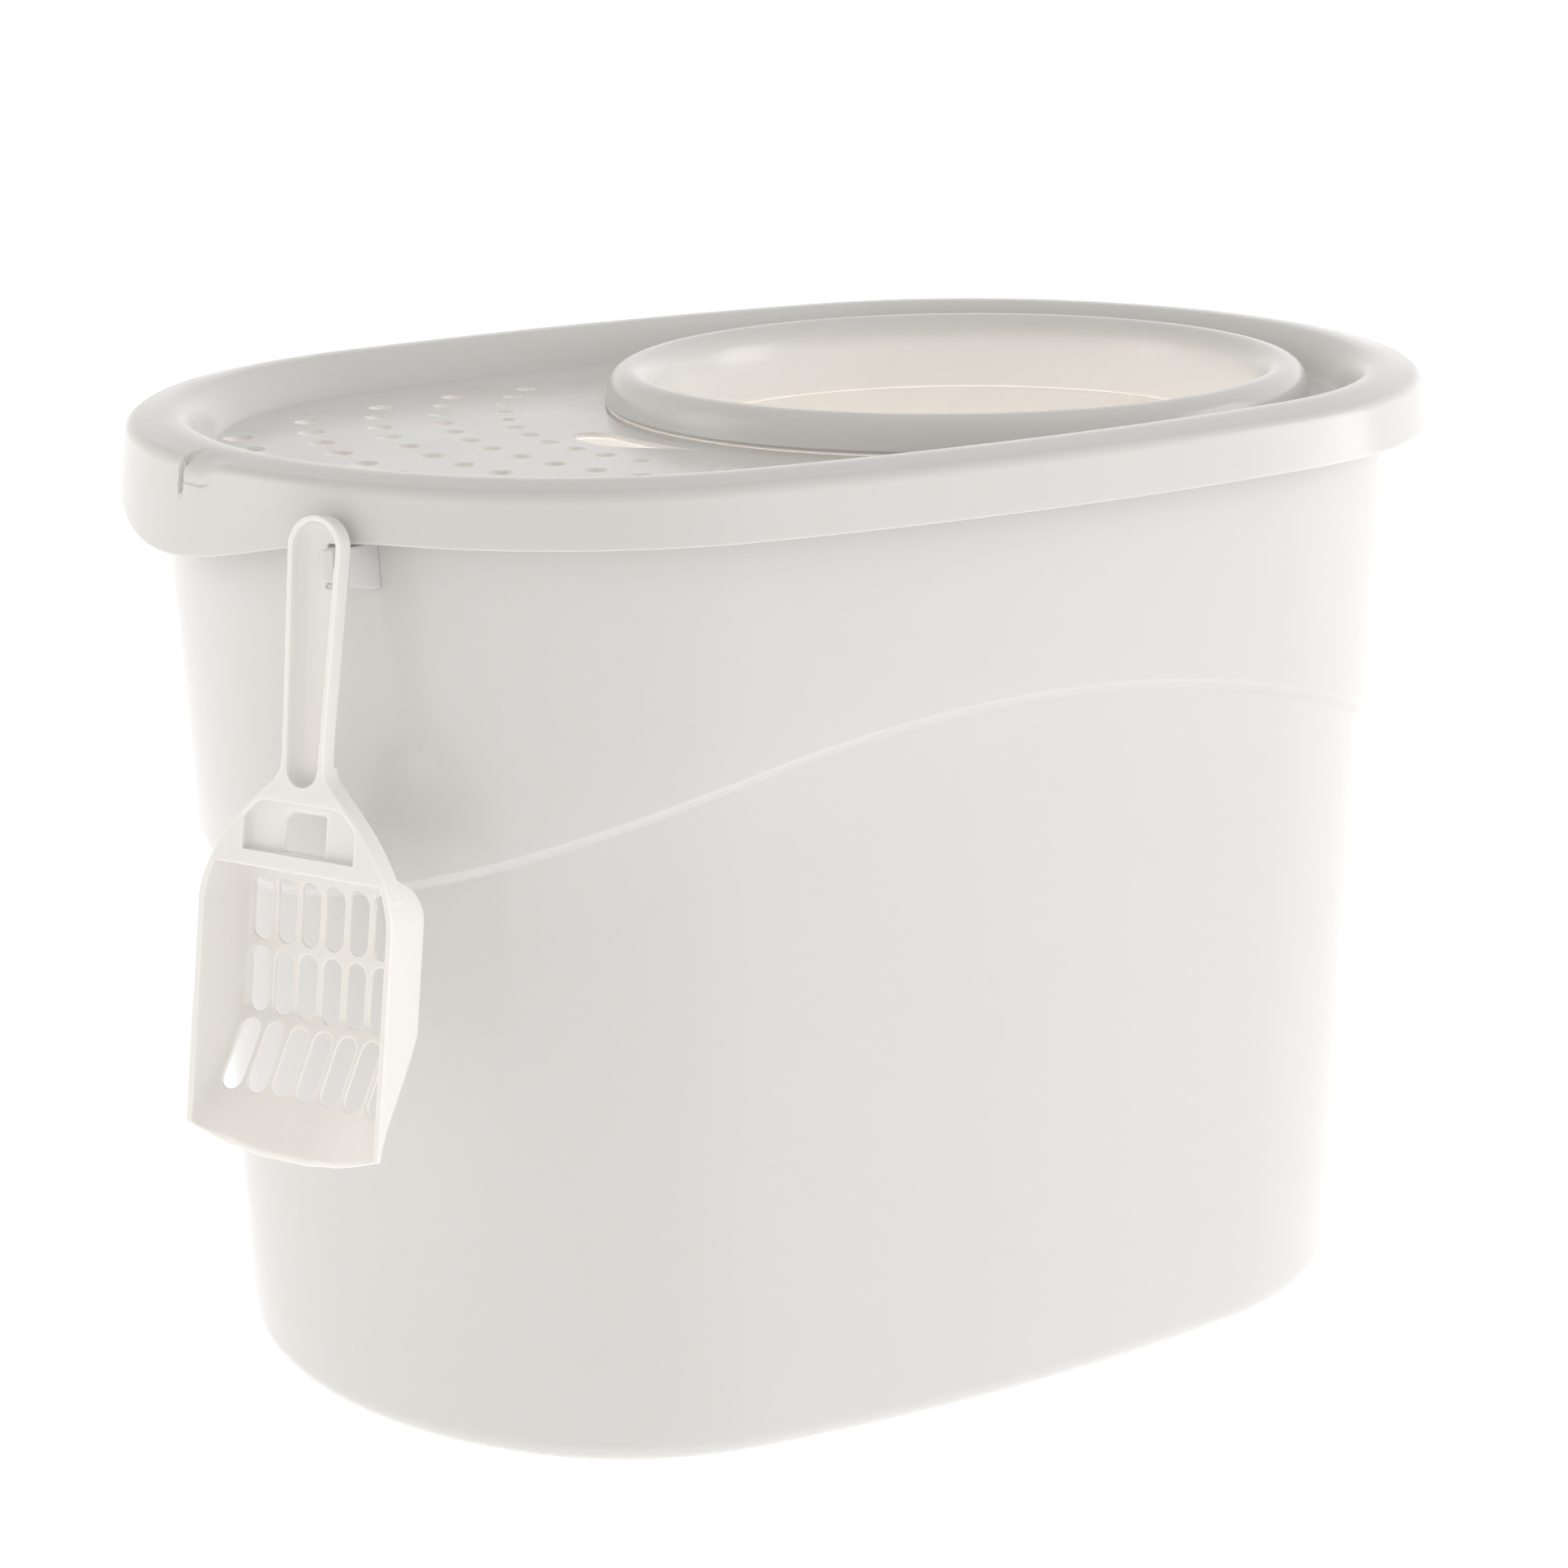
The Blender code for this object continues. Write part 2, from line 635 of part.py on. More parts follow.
def build_back_hollow(tools):
    """Hollow behind the recess that keeps the shoulders to a thin wall."""
    points = mirrored(edge_points(BACK_HOLLOW_HIGH_Z, BACK_HOLLOW_LOW_Z, SCOOP_WALL * 1.2, 8))
    bm = bmesh.new()
    scoop_prism(bm, points, RECESS_FLOOR + RECESS_FLOOR_WALL, SHOULDER_DEPTH + OVERRUN)
    return add_object("shoulder_hollow", bm, tools)


def build_window(tools):
    """Window in the recess with one round and one square upper corner."""
    points = []
    for side, corner in ((1.0, WINDOW_CORNERS[1]), (-1.0, WINDOW_CORNERS[0])):
        half = []
        for step in range(4):
            angle = math.pi / 2.0 * (1.0 - step / 3.0)
            x = WINDOW_HALF - corner * (1.0 - math.cos(angle))
            half.append((side * x, WINDOW_HIGH_Z - corner * (1.0 - math.sin(angle))))
        half.append((side * WINDOW_HALF, WINDOW_LOW_Z))
        points += half if side > 0.0 else list(reversed(half))
    bm = bmesh.new()
    scoop_prism(bm, points, RECESS_FLOOR - 0.0010, SHOULDER_DEPTH + OVERRUN)
    return add_object("scoop_window", bm, tools)


def build_hang_hole(tools):
    """Hole through the handle's back wall for the peg."""
    low, high = HANG_ACROSS
    bm = bmesh.new()
    box(bm, (low, 0.0, HANG_LOW_Z), (high, HANDLE_DEPTH + OVERRUN, HANG_HIGH_Z))
    return add_object("hang_hole", bm, tools)


def build_inside(tools):
    """Inside of the basket, open at the front face and at the lip."""
    bm = bmesh.new()
    sections = []
    for z in basket_heights(BASKET_TOP_Z - SCOOP_WALL, LIP_Z - OVERRUN / 5.0):
        depth = basket_depth(min(z + SCOOP_WALL / 2.0, BASKET_TOP_Z)) - SCOOP_WALL
        sections.append(basket_section(z, SCOOP_WALL, -OVERRUN, max(depth, SCOOP_WALL / 4.0)))
    skin_rings(bm, sections, close_last=True, close_first=True)
    return add_object("basket_inside", bm, tools)


def build_sieve(tools):
    """Rows of long round-ended slots in the basket floor and its ramp."""
    bm = bmesh.new()
    half = SIEVE_WIDTH / 2.0
    for row in range(SIEVE_ROWS):
        high = SIEVE_TOP_Z - row * (SIEVE_LENGTH + SIEVE_GAP)
        low = high - SIEVE_LENGTH
        for column in range(SIEVE_COLUMNS):
            x = SIEVE_PITCH * (column - (SIEVE_COLUMNS - 1) / 2.0)
            ends = arc_points(high - half, half, math.pi, 6) + arc_points(low + half, half, 0.0, 6)
            points = [(x + across, z) for across, z in ends]
            scoop_prism(bm, points, SIEVE_FRONT, BASKET_DEPTH + OVERRUN)
    return add_object("sieve_slots", bm, tools)


def scoop_placement():
    """The scoop hangs by its handle and leans out at its lower end."""
    inward = -Vector((math.cos(HOOK_AZIMUTH), math.sin(HOOK_AZIMUTH), 0.0))
    up = Vector((0.0, 0.0, 1.0))
    turn = Matrix((inward.cross(up), inward, up)).transposed().to_4x4()
    lean = Matrix.Rotation(-SCOOP_LEAN, 4, "X") @ Matrix.Rotation(SCOOP_ROLL, 4, "Y")
    return Matrix.Translation(SCOOP_APEX) @ turn @ lean


def main():
    clear_scene()
    home = collection("cat_litter_box")
    tools = collection("cutters")
    tub = build_tub(home, tools)
    lid = build_lid(home, tools)
    scoop = build_scoop(home, tools)
    tub.data.materials.append(plastic("tub plastic", (0.86, 0.85, 0.82), 0.22))
    lid.data.materials.append(plastic("lid plastic", (0.84, 0.83, 0.80), 0.25))
    scoop.data.materials.append(plastic("scoop plastic", (0.87, 0.86, 0.84), 0.24))
    bpy.context.view_layer.update()


main()
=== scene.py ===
"""Top-entry cat litter box: detailed oval tub, perforated lid with a round entry, and a hanging scoop."""

import math

import bmesh
import bpy
from mathutils import Matrix, Vector
from mathutils.geometry import delaunay_2d_cdt


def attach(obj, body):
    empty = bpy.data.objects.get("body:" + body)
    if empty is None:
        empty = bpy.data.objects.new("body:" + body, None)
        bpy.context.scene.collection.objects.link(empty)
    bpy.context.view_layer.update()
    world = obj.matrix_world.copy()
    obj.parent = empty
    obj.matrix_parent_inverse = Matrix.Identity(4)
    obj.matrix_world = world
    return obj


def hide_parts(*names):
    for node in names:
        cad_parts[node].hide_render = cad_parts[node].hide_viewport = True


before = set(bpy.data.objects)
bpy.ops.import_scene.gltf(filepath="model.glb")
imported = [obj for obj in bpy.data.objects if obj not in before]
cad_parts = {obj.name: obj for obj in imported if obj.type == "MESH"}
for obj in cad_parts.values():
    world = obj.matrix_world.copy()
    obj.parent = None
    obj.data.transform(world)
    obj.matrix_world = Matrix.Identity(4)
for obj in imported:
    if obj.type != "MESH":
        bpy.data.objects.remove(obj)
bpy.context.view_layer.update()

# Oval outline: three tangent arcs per quarter, split at these angles of the outline's normal
SPLIT_1 = math.radians(40.0)
SPLIT_2 = math.radians(82.0)
ARC_STEPS = (24, 20, 14)
SLOT_TURN_STEP = 0.04
SLOT_TURN_REACH = 0.80

# Tub
TUB_FOOT = (0.2400, 0.1723, 0.8141)
TUB_BROW = (0.2565, 0.1835, 0.8557)
BROW_Z = 0.3643
TUB_WALL = 0.0028
FOOT_ROUND = 0.0100
FOOT_STEPS = 10
LOWER_ROWS = 8
UPPER_ROWS = 5
BAND_PROUD = 0.0030
BAND_MID_Z = 0.2890
BAND_DROP = 1.10
BAND_HALF = 0.0026
BAND_STEPS = 12
UPPER_WALL_Z = 0.3755
FOOT_WALL_SHARE = 0.35
FLOOR_RING = (0.985, 0.98)
TUB_CREASE = math.radians(40.0)
RIM_SECTION = (
    (0.00320, 0.3772),
    (0.00380, 0.3782),
    (0.00480, 0.3787),
    (0.00600, 0.3784),
    (0.00650, 0.3775),
    (0.00670, 0.3760),
    (0.00670, 0.3706),
    (0.00700, 0.3701),
    (0.00810, 0.3699),
    (0.00920, 0.3701),
    (0.00950, 0.3706),
    (0.00950, 0.3790),
    (0.00915, 0.3805),
    (0.00820, 0.3814),
    (0.00700, 0.3816),
    (0.00300, 0.3816),
    (0.00150, 0.3812),
    (0.00050, 0.3800),
    (0.00020, 0.3785),
)

# Lid
LID_TOP = (0.2725, 0.2005, 0.8717)
LID_WALL = 0.0026
RIM_Z = 0.3876
RIM_SHOULDER_Z = 0.3858
RIM_OUTER_ROUND = 0.0055
RIM_OUTER_TURN = math.radians(82.0)
RIM_CREST = 0.0155
RIM_FOOT = 0.0345
RIM_FALL_POWER = 3.5
RIM_FOOT_POWER = 2.4
FALL_STEPS = 26
SLOPE_STEPS = 8
FALL_SPREAD = 0.85
SLOPE_BEND = 0.2
SLOPE_POWER = 4
ROUND_STEPS = 12
LID_CREASE = math.radians(50.0)
SKIRT_Z = 0.3643
SKIRT_FLARE = 0.0020
SKIRT_ROWS = 14
SKIRT_DIP = 0.0170
SKIRT_DIP_ANGLE = math.radians(35.0)
SKIRT_END_DIP = 0.0030
EDGE_ROUND = 0.0006
FLOOR_Z = 0.3715
SLOT_ANGLE = math.radians(4.4)
SLOT_DEPTH = 0.0022
SLOT_FLOOR_Z = 0.3722
SLOT_HALF_TURN = 0.42
SLOT_EDGE_TURN = 0.16
SLOT_CURL_TURN = 0.35
SLOT_CURL_HEIGHT = 0.0035
SLOT_END_BLEND = 0.0007
SLOT_TOP_SHARE = 0.7
SLOT_TOP_REACH = 3.0
RIM_CUT_RISE = 0.0050
NOTCH_START = 0.5
NOTCH_RISE_TURN = 0.6
NOTCH_FALL_TURN = 2.2
NOTCH_TURN = 6.4
NOTCH_DEPTH = 0.0026
NOTCH_REACH = 0.0120

# Entry collar, crescent finger hole and vent holes
ENTRY_X = 0.0831
COLLAR_STEPS = 180
COLLAR_SUBSTEPS = 4
COLLAR_WALL_SHARE = 0.9
COLLAR_SECTION = (
    (0.1470, 0.37150),
    (0.1463, 0.37165),
    (0.1457, 0.37230),
    (0.1453, 0.37420),
    (0.1447, 0.37760),
    (0.1437, 0.38080),
    (0.1414, 0.38330),
    (0.1373, 0.38430),
    (0.1332, 0.38290),
    (0.1303, 0.37950),
    (0.1288, 0.37500),
    (0.1279, 0.36800),
    (0.1272, 0.36000),
    (0.1268, 0.35500),
)
VENT_X = 0.0628
VENT_ROWS = (
    (0.1727, 15, 0.0198, 0.0040),
    (0.1986, 13, 0.0224, 0.0045),
    (0.2248, 11, 0.0248, 0.0050),
    (0.2532, 9, 0.0266, 0.0055),
    (0.2829, 7, 0.0284, 0.0060),
)
VENT_SIDES = 36
HOLE_ROUND = 0.0004
HOLE_ROUND_MID = 0.3
CRESCENT_START = math.radians(176.4)
CRESCENT_SWEEP = math.radians(22.5)
CRESCENT_INNER_R = 0.1630
CRESCENT_DEPTH = 0.0180
CRESCENT_BLUNT = 0.20
CRESCENT_FADE = 0.35
CRESCENT_STEPS = 48
CRESCENT_SPREAD = 1.3

# Hook
HOOK_AZIMUTH = math.radians(-150.4)
HOOK_ROOT = Vector((-0.2314, -0.0911, 0.0))
HOOK_WIDTH = 0.0165
HOOK_ROOT_Z = 0.3435
HOOK_END_Z = 0.3490
HOOK_HIGH_Z = 0.3616
HOOK_RISE = 0.0016
HOOK_REACH = 0.0230
HOOK_EDGE = 0.0012
PEG_EDGE = 0.0010
EDGE_SEGMENTS = 4
PEG_X = (0.0024, 0.0082)
PEG_LOW_Z = 0.3520
PEG_HIGH_Z = 0.3640
PEG_START = 0.0215
PEG_REACH = 0.0320

# Scoop, in its own frame: x across, y into its depth, z up, apex of the handle at zero
SCOOP_APEX = Vector((-0.2581, -0.1066, 0.3741))
SCOOP_LEAN = math.radians(9.1)
SCOOP_ROLL = math.radians(0.7)
SCOOP_WALL = 0.0020
SCOOP_VOXEL = 0.00034
SCOOP_SMOOTHING = 6
HANDLE_TOP_Z = 0.0018
HANDLE_HALF_TOP = 0.0114
HANDLE_ARC_Z = HANDLE_TOP_Z - HANDLE_HALF_TOP
HANDLE_HALF_LOW = 0.0088
HANDLE_END_Z = -0.0850
HANDLE_DEPTH = 0.0078
HANDLE_DRAFT = 0.0006
CHANNEL_END_Z = -0.0955
CHANNEL_ROUND = 0.0042
SHOULDER_HIGH_Z = -0.0918
SHOULDER_LOW_Z = -0.1430
SHOULDER_POWER = 1.85
SHOULDER_BLEND = 0.0035
SHOULDER_DEPTH = 0.0098
SHOULDER_TOP_Z = -0.0880
BASKET_HALF = 0.0431
BASKET_DEPTH = 0.0275
BASKET_DRAFT = 0.0030
BASKET_FILLET = 0.0045
FILLET_STEPS = 6
FLOOR_SHARES = (0.75, 0.50, 0.25)
BASKET_TOP_Z = -0.1245
BASKET_CROWN = 0.0160
CROWN_STEPS = 10
RAMP_START_Z = -0.1830
RAMP_STEPS = 8
LIP_Z = -0.2338
LIP_RISE = 0.0085
LIP_DEPTH = 0.0028
SIEVE_COLUMNS = 7
SIEVE_ROWS = 3
SIEVE_PITCH = 0.0108
SIEVE_WIDTH = 0.0084
SIEVE_LENGTH = 0.0243
SIEVE_GAP = 0.0027
SIEVE_TOP_Z = -0.1340
SIEVE_FRONT = 0.0010
RECESS_HIGH_Z = -0.1017
RECESS_LOW_Z = -0.1207
RECESS_BORDER = 0.0024
RECESS_HALF = 0.0245
RECESS_FLOOR = 0.0038
RECESS_FLOOR_WALL = 0.0028
RECESS_ROUND = 0.0016
WINDOW_HALF = 0.0090
WINDOW_CORNERS = (0.0055, 0.0010)
WINDOW_HIGH_Z = -0.1055
WINDOW_LOW_Z = -0.1204
BACK_RECESS_HIGH_Z = -0.0985
BACK_RECESS_LOW_Z = -0.1205
HANG_X = (0.0018, 0.0090)
HANG_HIGH_Z = -0.0082
HANG_LOW_Z = -0.0240
OVERRUN = 0.0050
SIEVE_END_STEPS = 14
OUTLINE_STEPS = 24
HANDLE_ARC_STEPS = 32
BODY_STEPS = 60
SHOULDER_STEPS = 40
SHOULDER_FRONT = 0.0002
BASKET_START = 0.0005
FILLET_LIMIT = 0.6
WINDOW_ARC_STEPS = 8
WINDOW_FLARE = ((-1.7, -1.0), (-1.7, 0.0), (-0.8, 0.35), (-0.25, 0.8), (0.0, 1.4), (0.0, 9.0))
RECESS_CORNER = ((0.0030, 0.0), (0.0012, 0.0002), (0.0002, 0.0007))
BACK_RECESS_INSET = 1.2
SMOOTH_FACTOR = 0.5
DECIMATE_RATIO = 0.20
MILLIMETRE = 0.001

# Plastics: name, base colour, roughness, offset of the texture
TUB_PLASTIC = ("tub plastic", (0.71, 0.70, 0.688), 0.11, 0.0)
LID_PLASTIC = ("lid plastic", (0.705, 0.693, 0.679), 0.14, 3.1)
SCOOP_PLASTIC = ("scoop plastic", (0.835, 0.822, 0.802), 0.15, 7.7)
CLOUD_TINT = 0.99
SPECK_TINT = 0.90
SPECK_SCALE = 26.0
HAZE_ROUGHNESS = 0.10
PLASTIC_IOR = 1.49
SCATTER_RADIUS = (1.0, 0.93, 0.84)
SCATTER_SCALE = 0.0012

# Studio
WORLD_LEFT = (1.00, 0.97, 0.93)
WORLD_RIGHT = (1.45, 1.46, 1.47)
WORLD_TOP = (0.58, 0.57, 0.555)
SUN_SIDE = (0.94, -0.34, 0.0)
FLOOR_GLOW = 0.50
FLOOR_REACH = 12.0
FLOOR_DROP = 0.0004
FLOOR_TONE = 0.90
LIGHT_AIM = (0.0, 0.0, 0.2)
DIFFUSE_BOUNCES = 14
OTHER_BOUNCES = 4
INSIDE_LIGHT_Z = 0.0120
INSIDE_LIGHT_SIZE = (0.34, 0.22)
INSIDE_LIGHT_POWER = 1.40

# Camera
CAMERA_EYE = Vector((-0.7677, -1.2893, 0.6229))
CAMERA_TARGET = Vector((-0.0094, 0.0, 0.2154))
CAMERA_ROLL = math.radians(-1.0387)
CAMERA_LENS = 84.44
SENSOR_WIDTH = 36.0
CAMERA_CLIP = (0.05, 60.0)
CAMERA_SHIFT = (0.00646, -0.00026)


# ---------------------------------------------------------------- outlines

def arcs_of(outline):
    """The three arcs of a quarter oval as (last normal angle, centre x, centre y, radius)."""
    half_length, half_width, side = outline
    a1 = 1.0 - math.cos(SPLIT_1)
    a2 = math.cos(SPLIT_1) - math.cos(SPLIT_2)
    b1 = math.sin(SPLIT_1)
    b2 = math.sin(SPLIT_2) - math.sin(SPLIT_1)
    length = half_length - side * math.cos(SPLIT_2)
    width = half_width - side * (1.0 - math.sin(SPLIT_2))
    end = (length * b2 - width * a2) / (a1 * b2 - b1 * a2)
    corner = (a1 * width - b1 * length) / (a1 * b2 - b1 * a2)
    x1 = half_length - end
    x2 = x1 + (end - corner) * math.cos(SPLIT_1)
    y2 = (end - corner) * math.sin(SPLIT_1)
    x3 = x2 + (corner - side) * math.cos(SPLIT_2)
    y3 = y2 + (corner - side) * math.sin(SPLIT_2)
    return ((SPLIT_1, x1, 0.0, end), (SPLIT_2, x2, y2, corner), (math.pi, x3, y3, side))


def oval_point(arcs, offset, angle):
    """Point of the oval whose outward normal has this angle, moved outwards by the offset."""
    folded = math.atan2(abs(math.sin(angle)), abs(math.cos(angle)))
    limit, cx, cy, radius = next(arc for arc in arcs if folded <= arc[0] + 1e-9)
    x = cx + (radius + offset) * math.cos(folded)
    y = cy + (radius + offset) * math.sin(folded)
    return math.copysign(x, math.cos(angle)), math.copysign(y, math.sin(angle))


def outline_angles():
    """Normal angles of the outline's columns, with extra columns where the rim slots are."""
    quarter = []
    spans = ((0.0, SPLIT_1), (SPLIT_1, SPLIT_2), (SPLIT_2, math.pi / 2.0))
    for (start, stop), steps in zip(spans, ARC_STEPS):
        quarter += [start + (stop - start) * step / steps for step in range(steps)]
    half = quarter + [math.pi / 2.0] + [math.pi - angle for angle in reversed(quarter[1:])]
    full = half + [angle + math.pi for angle in half]
    steps = int(round(SLOT_TURN_REACH / SLOT_TURN_STEP))
    for centre in (SLOT_ANGLE, SLOT_ANGLE + math.pi):
        full = [angle for angle in full if abs(angle - centre) > math.radians(SLOT_TURN_REACH)]
        full += [centre + math.radians(SLOT_TURN_STEP * step) for step in range(-steps, steps + 1)]
    return sorted(full)


def smooth_share(value):
    value = min(max(value, 0.0), 1.0)
    return value * value * (3.0 - 2.0 * value)


def smooth_path(points, steps):
    """Catmull-Rom curve through the points."""
    path = []
    last = len(points) - 1
    for index in range(last):
        p0 = Vector(points[max(index - 1, 0)])
        p1 = Vector(points[index])
        p2 = Vector(points[index + 1])
        p3 = Vector(points[min(index + 2, last)])
        for step in range(steps):
            t = step / steps
            a = 2.0 * p1 + (p2 - p0) * t
            b = (2.0 * p0 - 5.0 * p1 + 4.0 * p2 - p3) * t * t
            c = (3.0 * p1 - p0 - 3.0 * p2 + p3) * t * t * t
            path.append(tuple((a + b + c) / 2.0))
    path.append(tuple(points[-1]))
    return path


def offset_path(path, distance):
    """A 2D path moved sideways, to its left where the distance is positive."""
    moved = []
    for index, point in enumerate(path):
        before = Vector(path[max(index - 1, 0)])
        after = Vector(path[min(index + 1, len(path) - 1)])
        along = (after - before).normalized()
        moved.append((point[0] - along.y * distance, point[1] + along.x * distance))
    return moved


# ---------------------------------------------------------------- mesh helpers

def add_piece(name, bm, smooth_angle=None):
    mesh = bpy.data.meshes.new(name)
    bm.to_mesh(mesh)
    bm.free()
    mesh.shade_smooth()
    if smooth_angle is not None:
        mesh.set_sharp_from_angle(angle=smooth_angle)
    piece = bpy.data.objects.new(name, mesh)
    bpy.context.scene.collection.objects.link(piece)
    return piece


def add_modifier(thing, kind, name, **settings):
    modifier = thing.modifiers.new(name, kind)
    for key, value in settings.items():
        setattr(modifier, key, value)
    return modifier


def apply_modifiers(thing, drop=()):
    """Keep the evaluated mesh and remove the helper objects it was made from."""
    graph = bpy.context.evaluated_depsgraph_get()
    mesh = bpy.data.meshes.new_from_object(thing.evaluated_get(graph))
    thing.modifiers.clear()
    thing.data = mesh
    for helper in drop:
        bpy.data.objects.remove(helper, do_unlink=True)


def bridge(bm, loops, closed=False):
    """Skin between successive vertex loops of equal length."""
    pairs = list(zip(loops, loops[1:]))
    if closed:
        pairs.append((loops[-1], loops[0]))
    for lower, upper in pairs:
        count = len(lower)
        for index in range(count):
            after = (index + 1) % count
            bm.faces.new((lower[index], lower[after], upper[after], upper[index]))


def inside_polygon(x, y, polygon):
    odd = False
    previous = polygon[-1]
    for point in polygon:
        if (point[1] > y) != (previous[1] > y):
            cross = (previous[0] - point[0]) * (y - point[1]) / (previous[1] - point[1]) + point[0]
            if x < cross:
                odd = not odd
        previous = point
    return odd


def fill_flat(bm, outer, holes, face_up):
    """Triangulate the flat area inside the outer loop and outside the hole loops."""
    loops = [outer] + holes
    verts = [vert for loop in loops for vert in loop]
    edges = []
    start = 0
    for loop in loops:
        edges += [(start + i, start + (i + 1) % len(loop)) for i in range(len(loop))]
        start += len(loop)
    coords = [vert.co.to_2d() for vert in verts]
    found = delaunay_2d_cdt(coords, edges, [], 0, 1e-9)
    points, faces, origins = found[0], found[2], found[3]
    polygons = []
    for loop in loops:
        polygon = [(vert.co.x, vert.co.y) for vert in loop]
        xs = [point[0] for point in polygon]
        ys = [point[1] for point in polygon]
        polygons.append((polygon, min(xs), max(xs), min(ys), max(ys)))
    for face in faces:
        x = sum(points[i].x for i in face) / len(face)
        y = sum(points[i].y for i in face) / len(face)
        hits = []
        for polygon, x0, x1, y0, y1 in polygons:
            near = x0 < x < x1 and y0 < y < y1
            hits.append(near and inside_polygon(x, y, polygon))
        if not hits[0] or any(hits[1:]):
            continue
        corners = [verts[origins[i][0]] for i in face]
        if not face_up:
            corners.reverse()
        bm.faces.new(corners).material_index = 1


def box(bm, low, high, matrix=Matrix.Identity(4)):
    centre = (Vector(low) + Vector(high)) / 2.0
    size = Vector(high) - Vector(low)
    place = matrix @ Matrix.Translation(centre) @ Matrix.Diagonal((*size, 1.0))
    bmesh.ops.create_cube(bm, size=1.0, matrix=place)


def round_edges(thing, width, segments):
    add_modifier(
        thing, "BEVEL", "edges", width=width, segments=segments,
        limit_method="ANGLE", angle_limit=math.radians(30.0), harden_normals=False,
    )


# ---------------------------------------------------------------- tub

def band_z(x):
    return BAND_MID_Z - BAND_DROP * x * x


def wall_profile(x):
    """Outer wall from the flat underside to just below the flange, as (offset, z)."""
    step_z = band_z(x)
    profile = []
    for step in range(FOOT_STEPS + 1):
        angle = math.pi / 2.0 * step / FOOT_STEPS
        offset = -FOOT_ROUND * (1.0 - math.sin(angle))
        profile.append((offset, FOOT_ROUND * (1.0 - math.cos(angle))))
    low = FOOT_ROUND
    high = step_z - BAND_HALF
    for row in range(1, LOWER_ROWS):
        profile.append((0.0, low + (high - low) * row / LOWER_ROWS))
    for step in range(BAND_STEPS + 1):
        share = step / BAND_STEPS
        z = step_z - BAND_HALF + 2.0 * BAND_HALF * share
        profile.append((BAND_PROUD * smooth_share(share), z))
    low = step_z + BAND_HALF
    high = UPPER_WALL_Z
    for row in range(1, UPPER_ROWS + 1):
        profile.append((BAND_PROUD, low + (high - low) * row / UPPER_ROWS))
    return profile


def build_tub():
    bm = bmesh.new()
    angles = outline_angles()
    guide = arcs_of(TUB_BROW)
    columns = []
    for angle in angles:
        x, _ = oval_point(guide, 0.0, angle)
        outer = wall_profile(x)
        inner = []
        for offset, z in reversed(outer):
            if z < FOOT_ROUND - 1e-6:
                share = z / FOOT_ROUND
                wall = TUB_WALL * (FOOT_WALL_SHARE + (1.0 - FOOT_WALL_SHARE) * share)
                inner.append((offset - wall, z + TUB_WALL * (1.0 - share)))
            else:
                inner.append((offset - TUB_WALL, z))
        columns.append(outer + list(RIM_SECTION) + inner)
    loops = []
    for row in range(len(columns[0])):
        loop = []
        for angle, column in zip(angles, columns):
            offset, z = column[row]
            share = z / BROW_Z
            outline = tuple(low + (high - low) * share for low, high in zip(TUB_FOOT, TUB_BROW))
            px, py = oval_point(arcs_of(outline), offset, angle)
            loop.append(bm.verts.new((px, py, z)))
        loops.append(loop)
    bridge(bm, loops)
    for loop, z, up in ((loops[0], 0.0, False), (loops[-1], loops[-1][0].co.z, True)):
        ring = [bm.verts.new((vert.co.x * FLOOR_RING[0], vert.co.y * FLOOR_RING[1], z)) for vert in loop]
        if up:
            bridge(bm, [loop, ring])
            bm.faces.new(ring)
        else:
            bridge(bm, [ring, loop])
            bm.faces.new(list(reversed(ring)))
    return add_piece("tub_shell", bm, TUB_CREASE)


def build_hook():
    place = Matrix.Translation(HOOK_ROOT) @ Matrix.Rotation(HOOK_AZIMUTH, 4, "Z")
    side = (
        (0.0, HOOK_ROOT_Z),
        (HOOK_REACH, HOOK_END_Z),
        (HOOK_REACH, HOOK_HIGH_Z),
        (0.0, HOOK_HIGH_Z),
    )
    bm = bmesh.new()
    loops = []
    for across, rise in ((-HOOK_WIDTH / 2.0, 0.0), (HOOK_WIDTH / 2.0, HOOK_RISE)):
        loop = []
        for reach, z in side:
            top = z + rise if z == HOOK_HIGH_Z else z
            loop.append(bm.verts.new(place @ Vector((reach, across, top))))
        loops.append(loop)
    bridge(bm, loops)
    bm.faces.new(list(reversed(loops[0])))
    bm.faces.new(loops[1])
    bmesh.ops.recalc_face_normals(bm, faces=bm.faces)
    arm = add_piece("tub_hook", bm)
    round_edges(arm, HOOK_EDGE, EDGE_SEGMENTS)
    bm = bmesh.new()
    box(bm, (PEG_START, PEG_X[0], PEG_LOW_Z), (PEG_REACH, PEG_X[1], PEG_HIGH_Z), place)
    peg = add_piece("hook_peg_helper", bm)
    round_edges(peg, PEG_EDGE, EDGE_SEGMENTS)
    add_modifier(arm, "BOOLEAN", "peg", operation="UNION", solver="EXACT", object=peg)
    apply_modifiers(arm, drop=[peg])
    arm.data.set_sharp_from_angle(angle=TUB_CREASE)
    return arm


# ---------------------------------------------------------------- lid

def skirt_z(angle):
    away = min(abs(angle - math.pi) / SKIRT_DIP_ANGLE, 1.0)
    end = min(min(angle % (2.0 * math.pi), -angle % (2.0 * math.pi)) / SKIRT_DIP_ANGLE, 1.0)
    dip = SKIRT_DIP * 0.5 * (1.0 + math.cos(math.pi * away))
    return SKIRT_Z - dip - SKIRT_END_DIP * 0.5 * (1.0 + math.cos(math.pi * end))


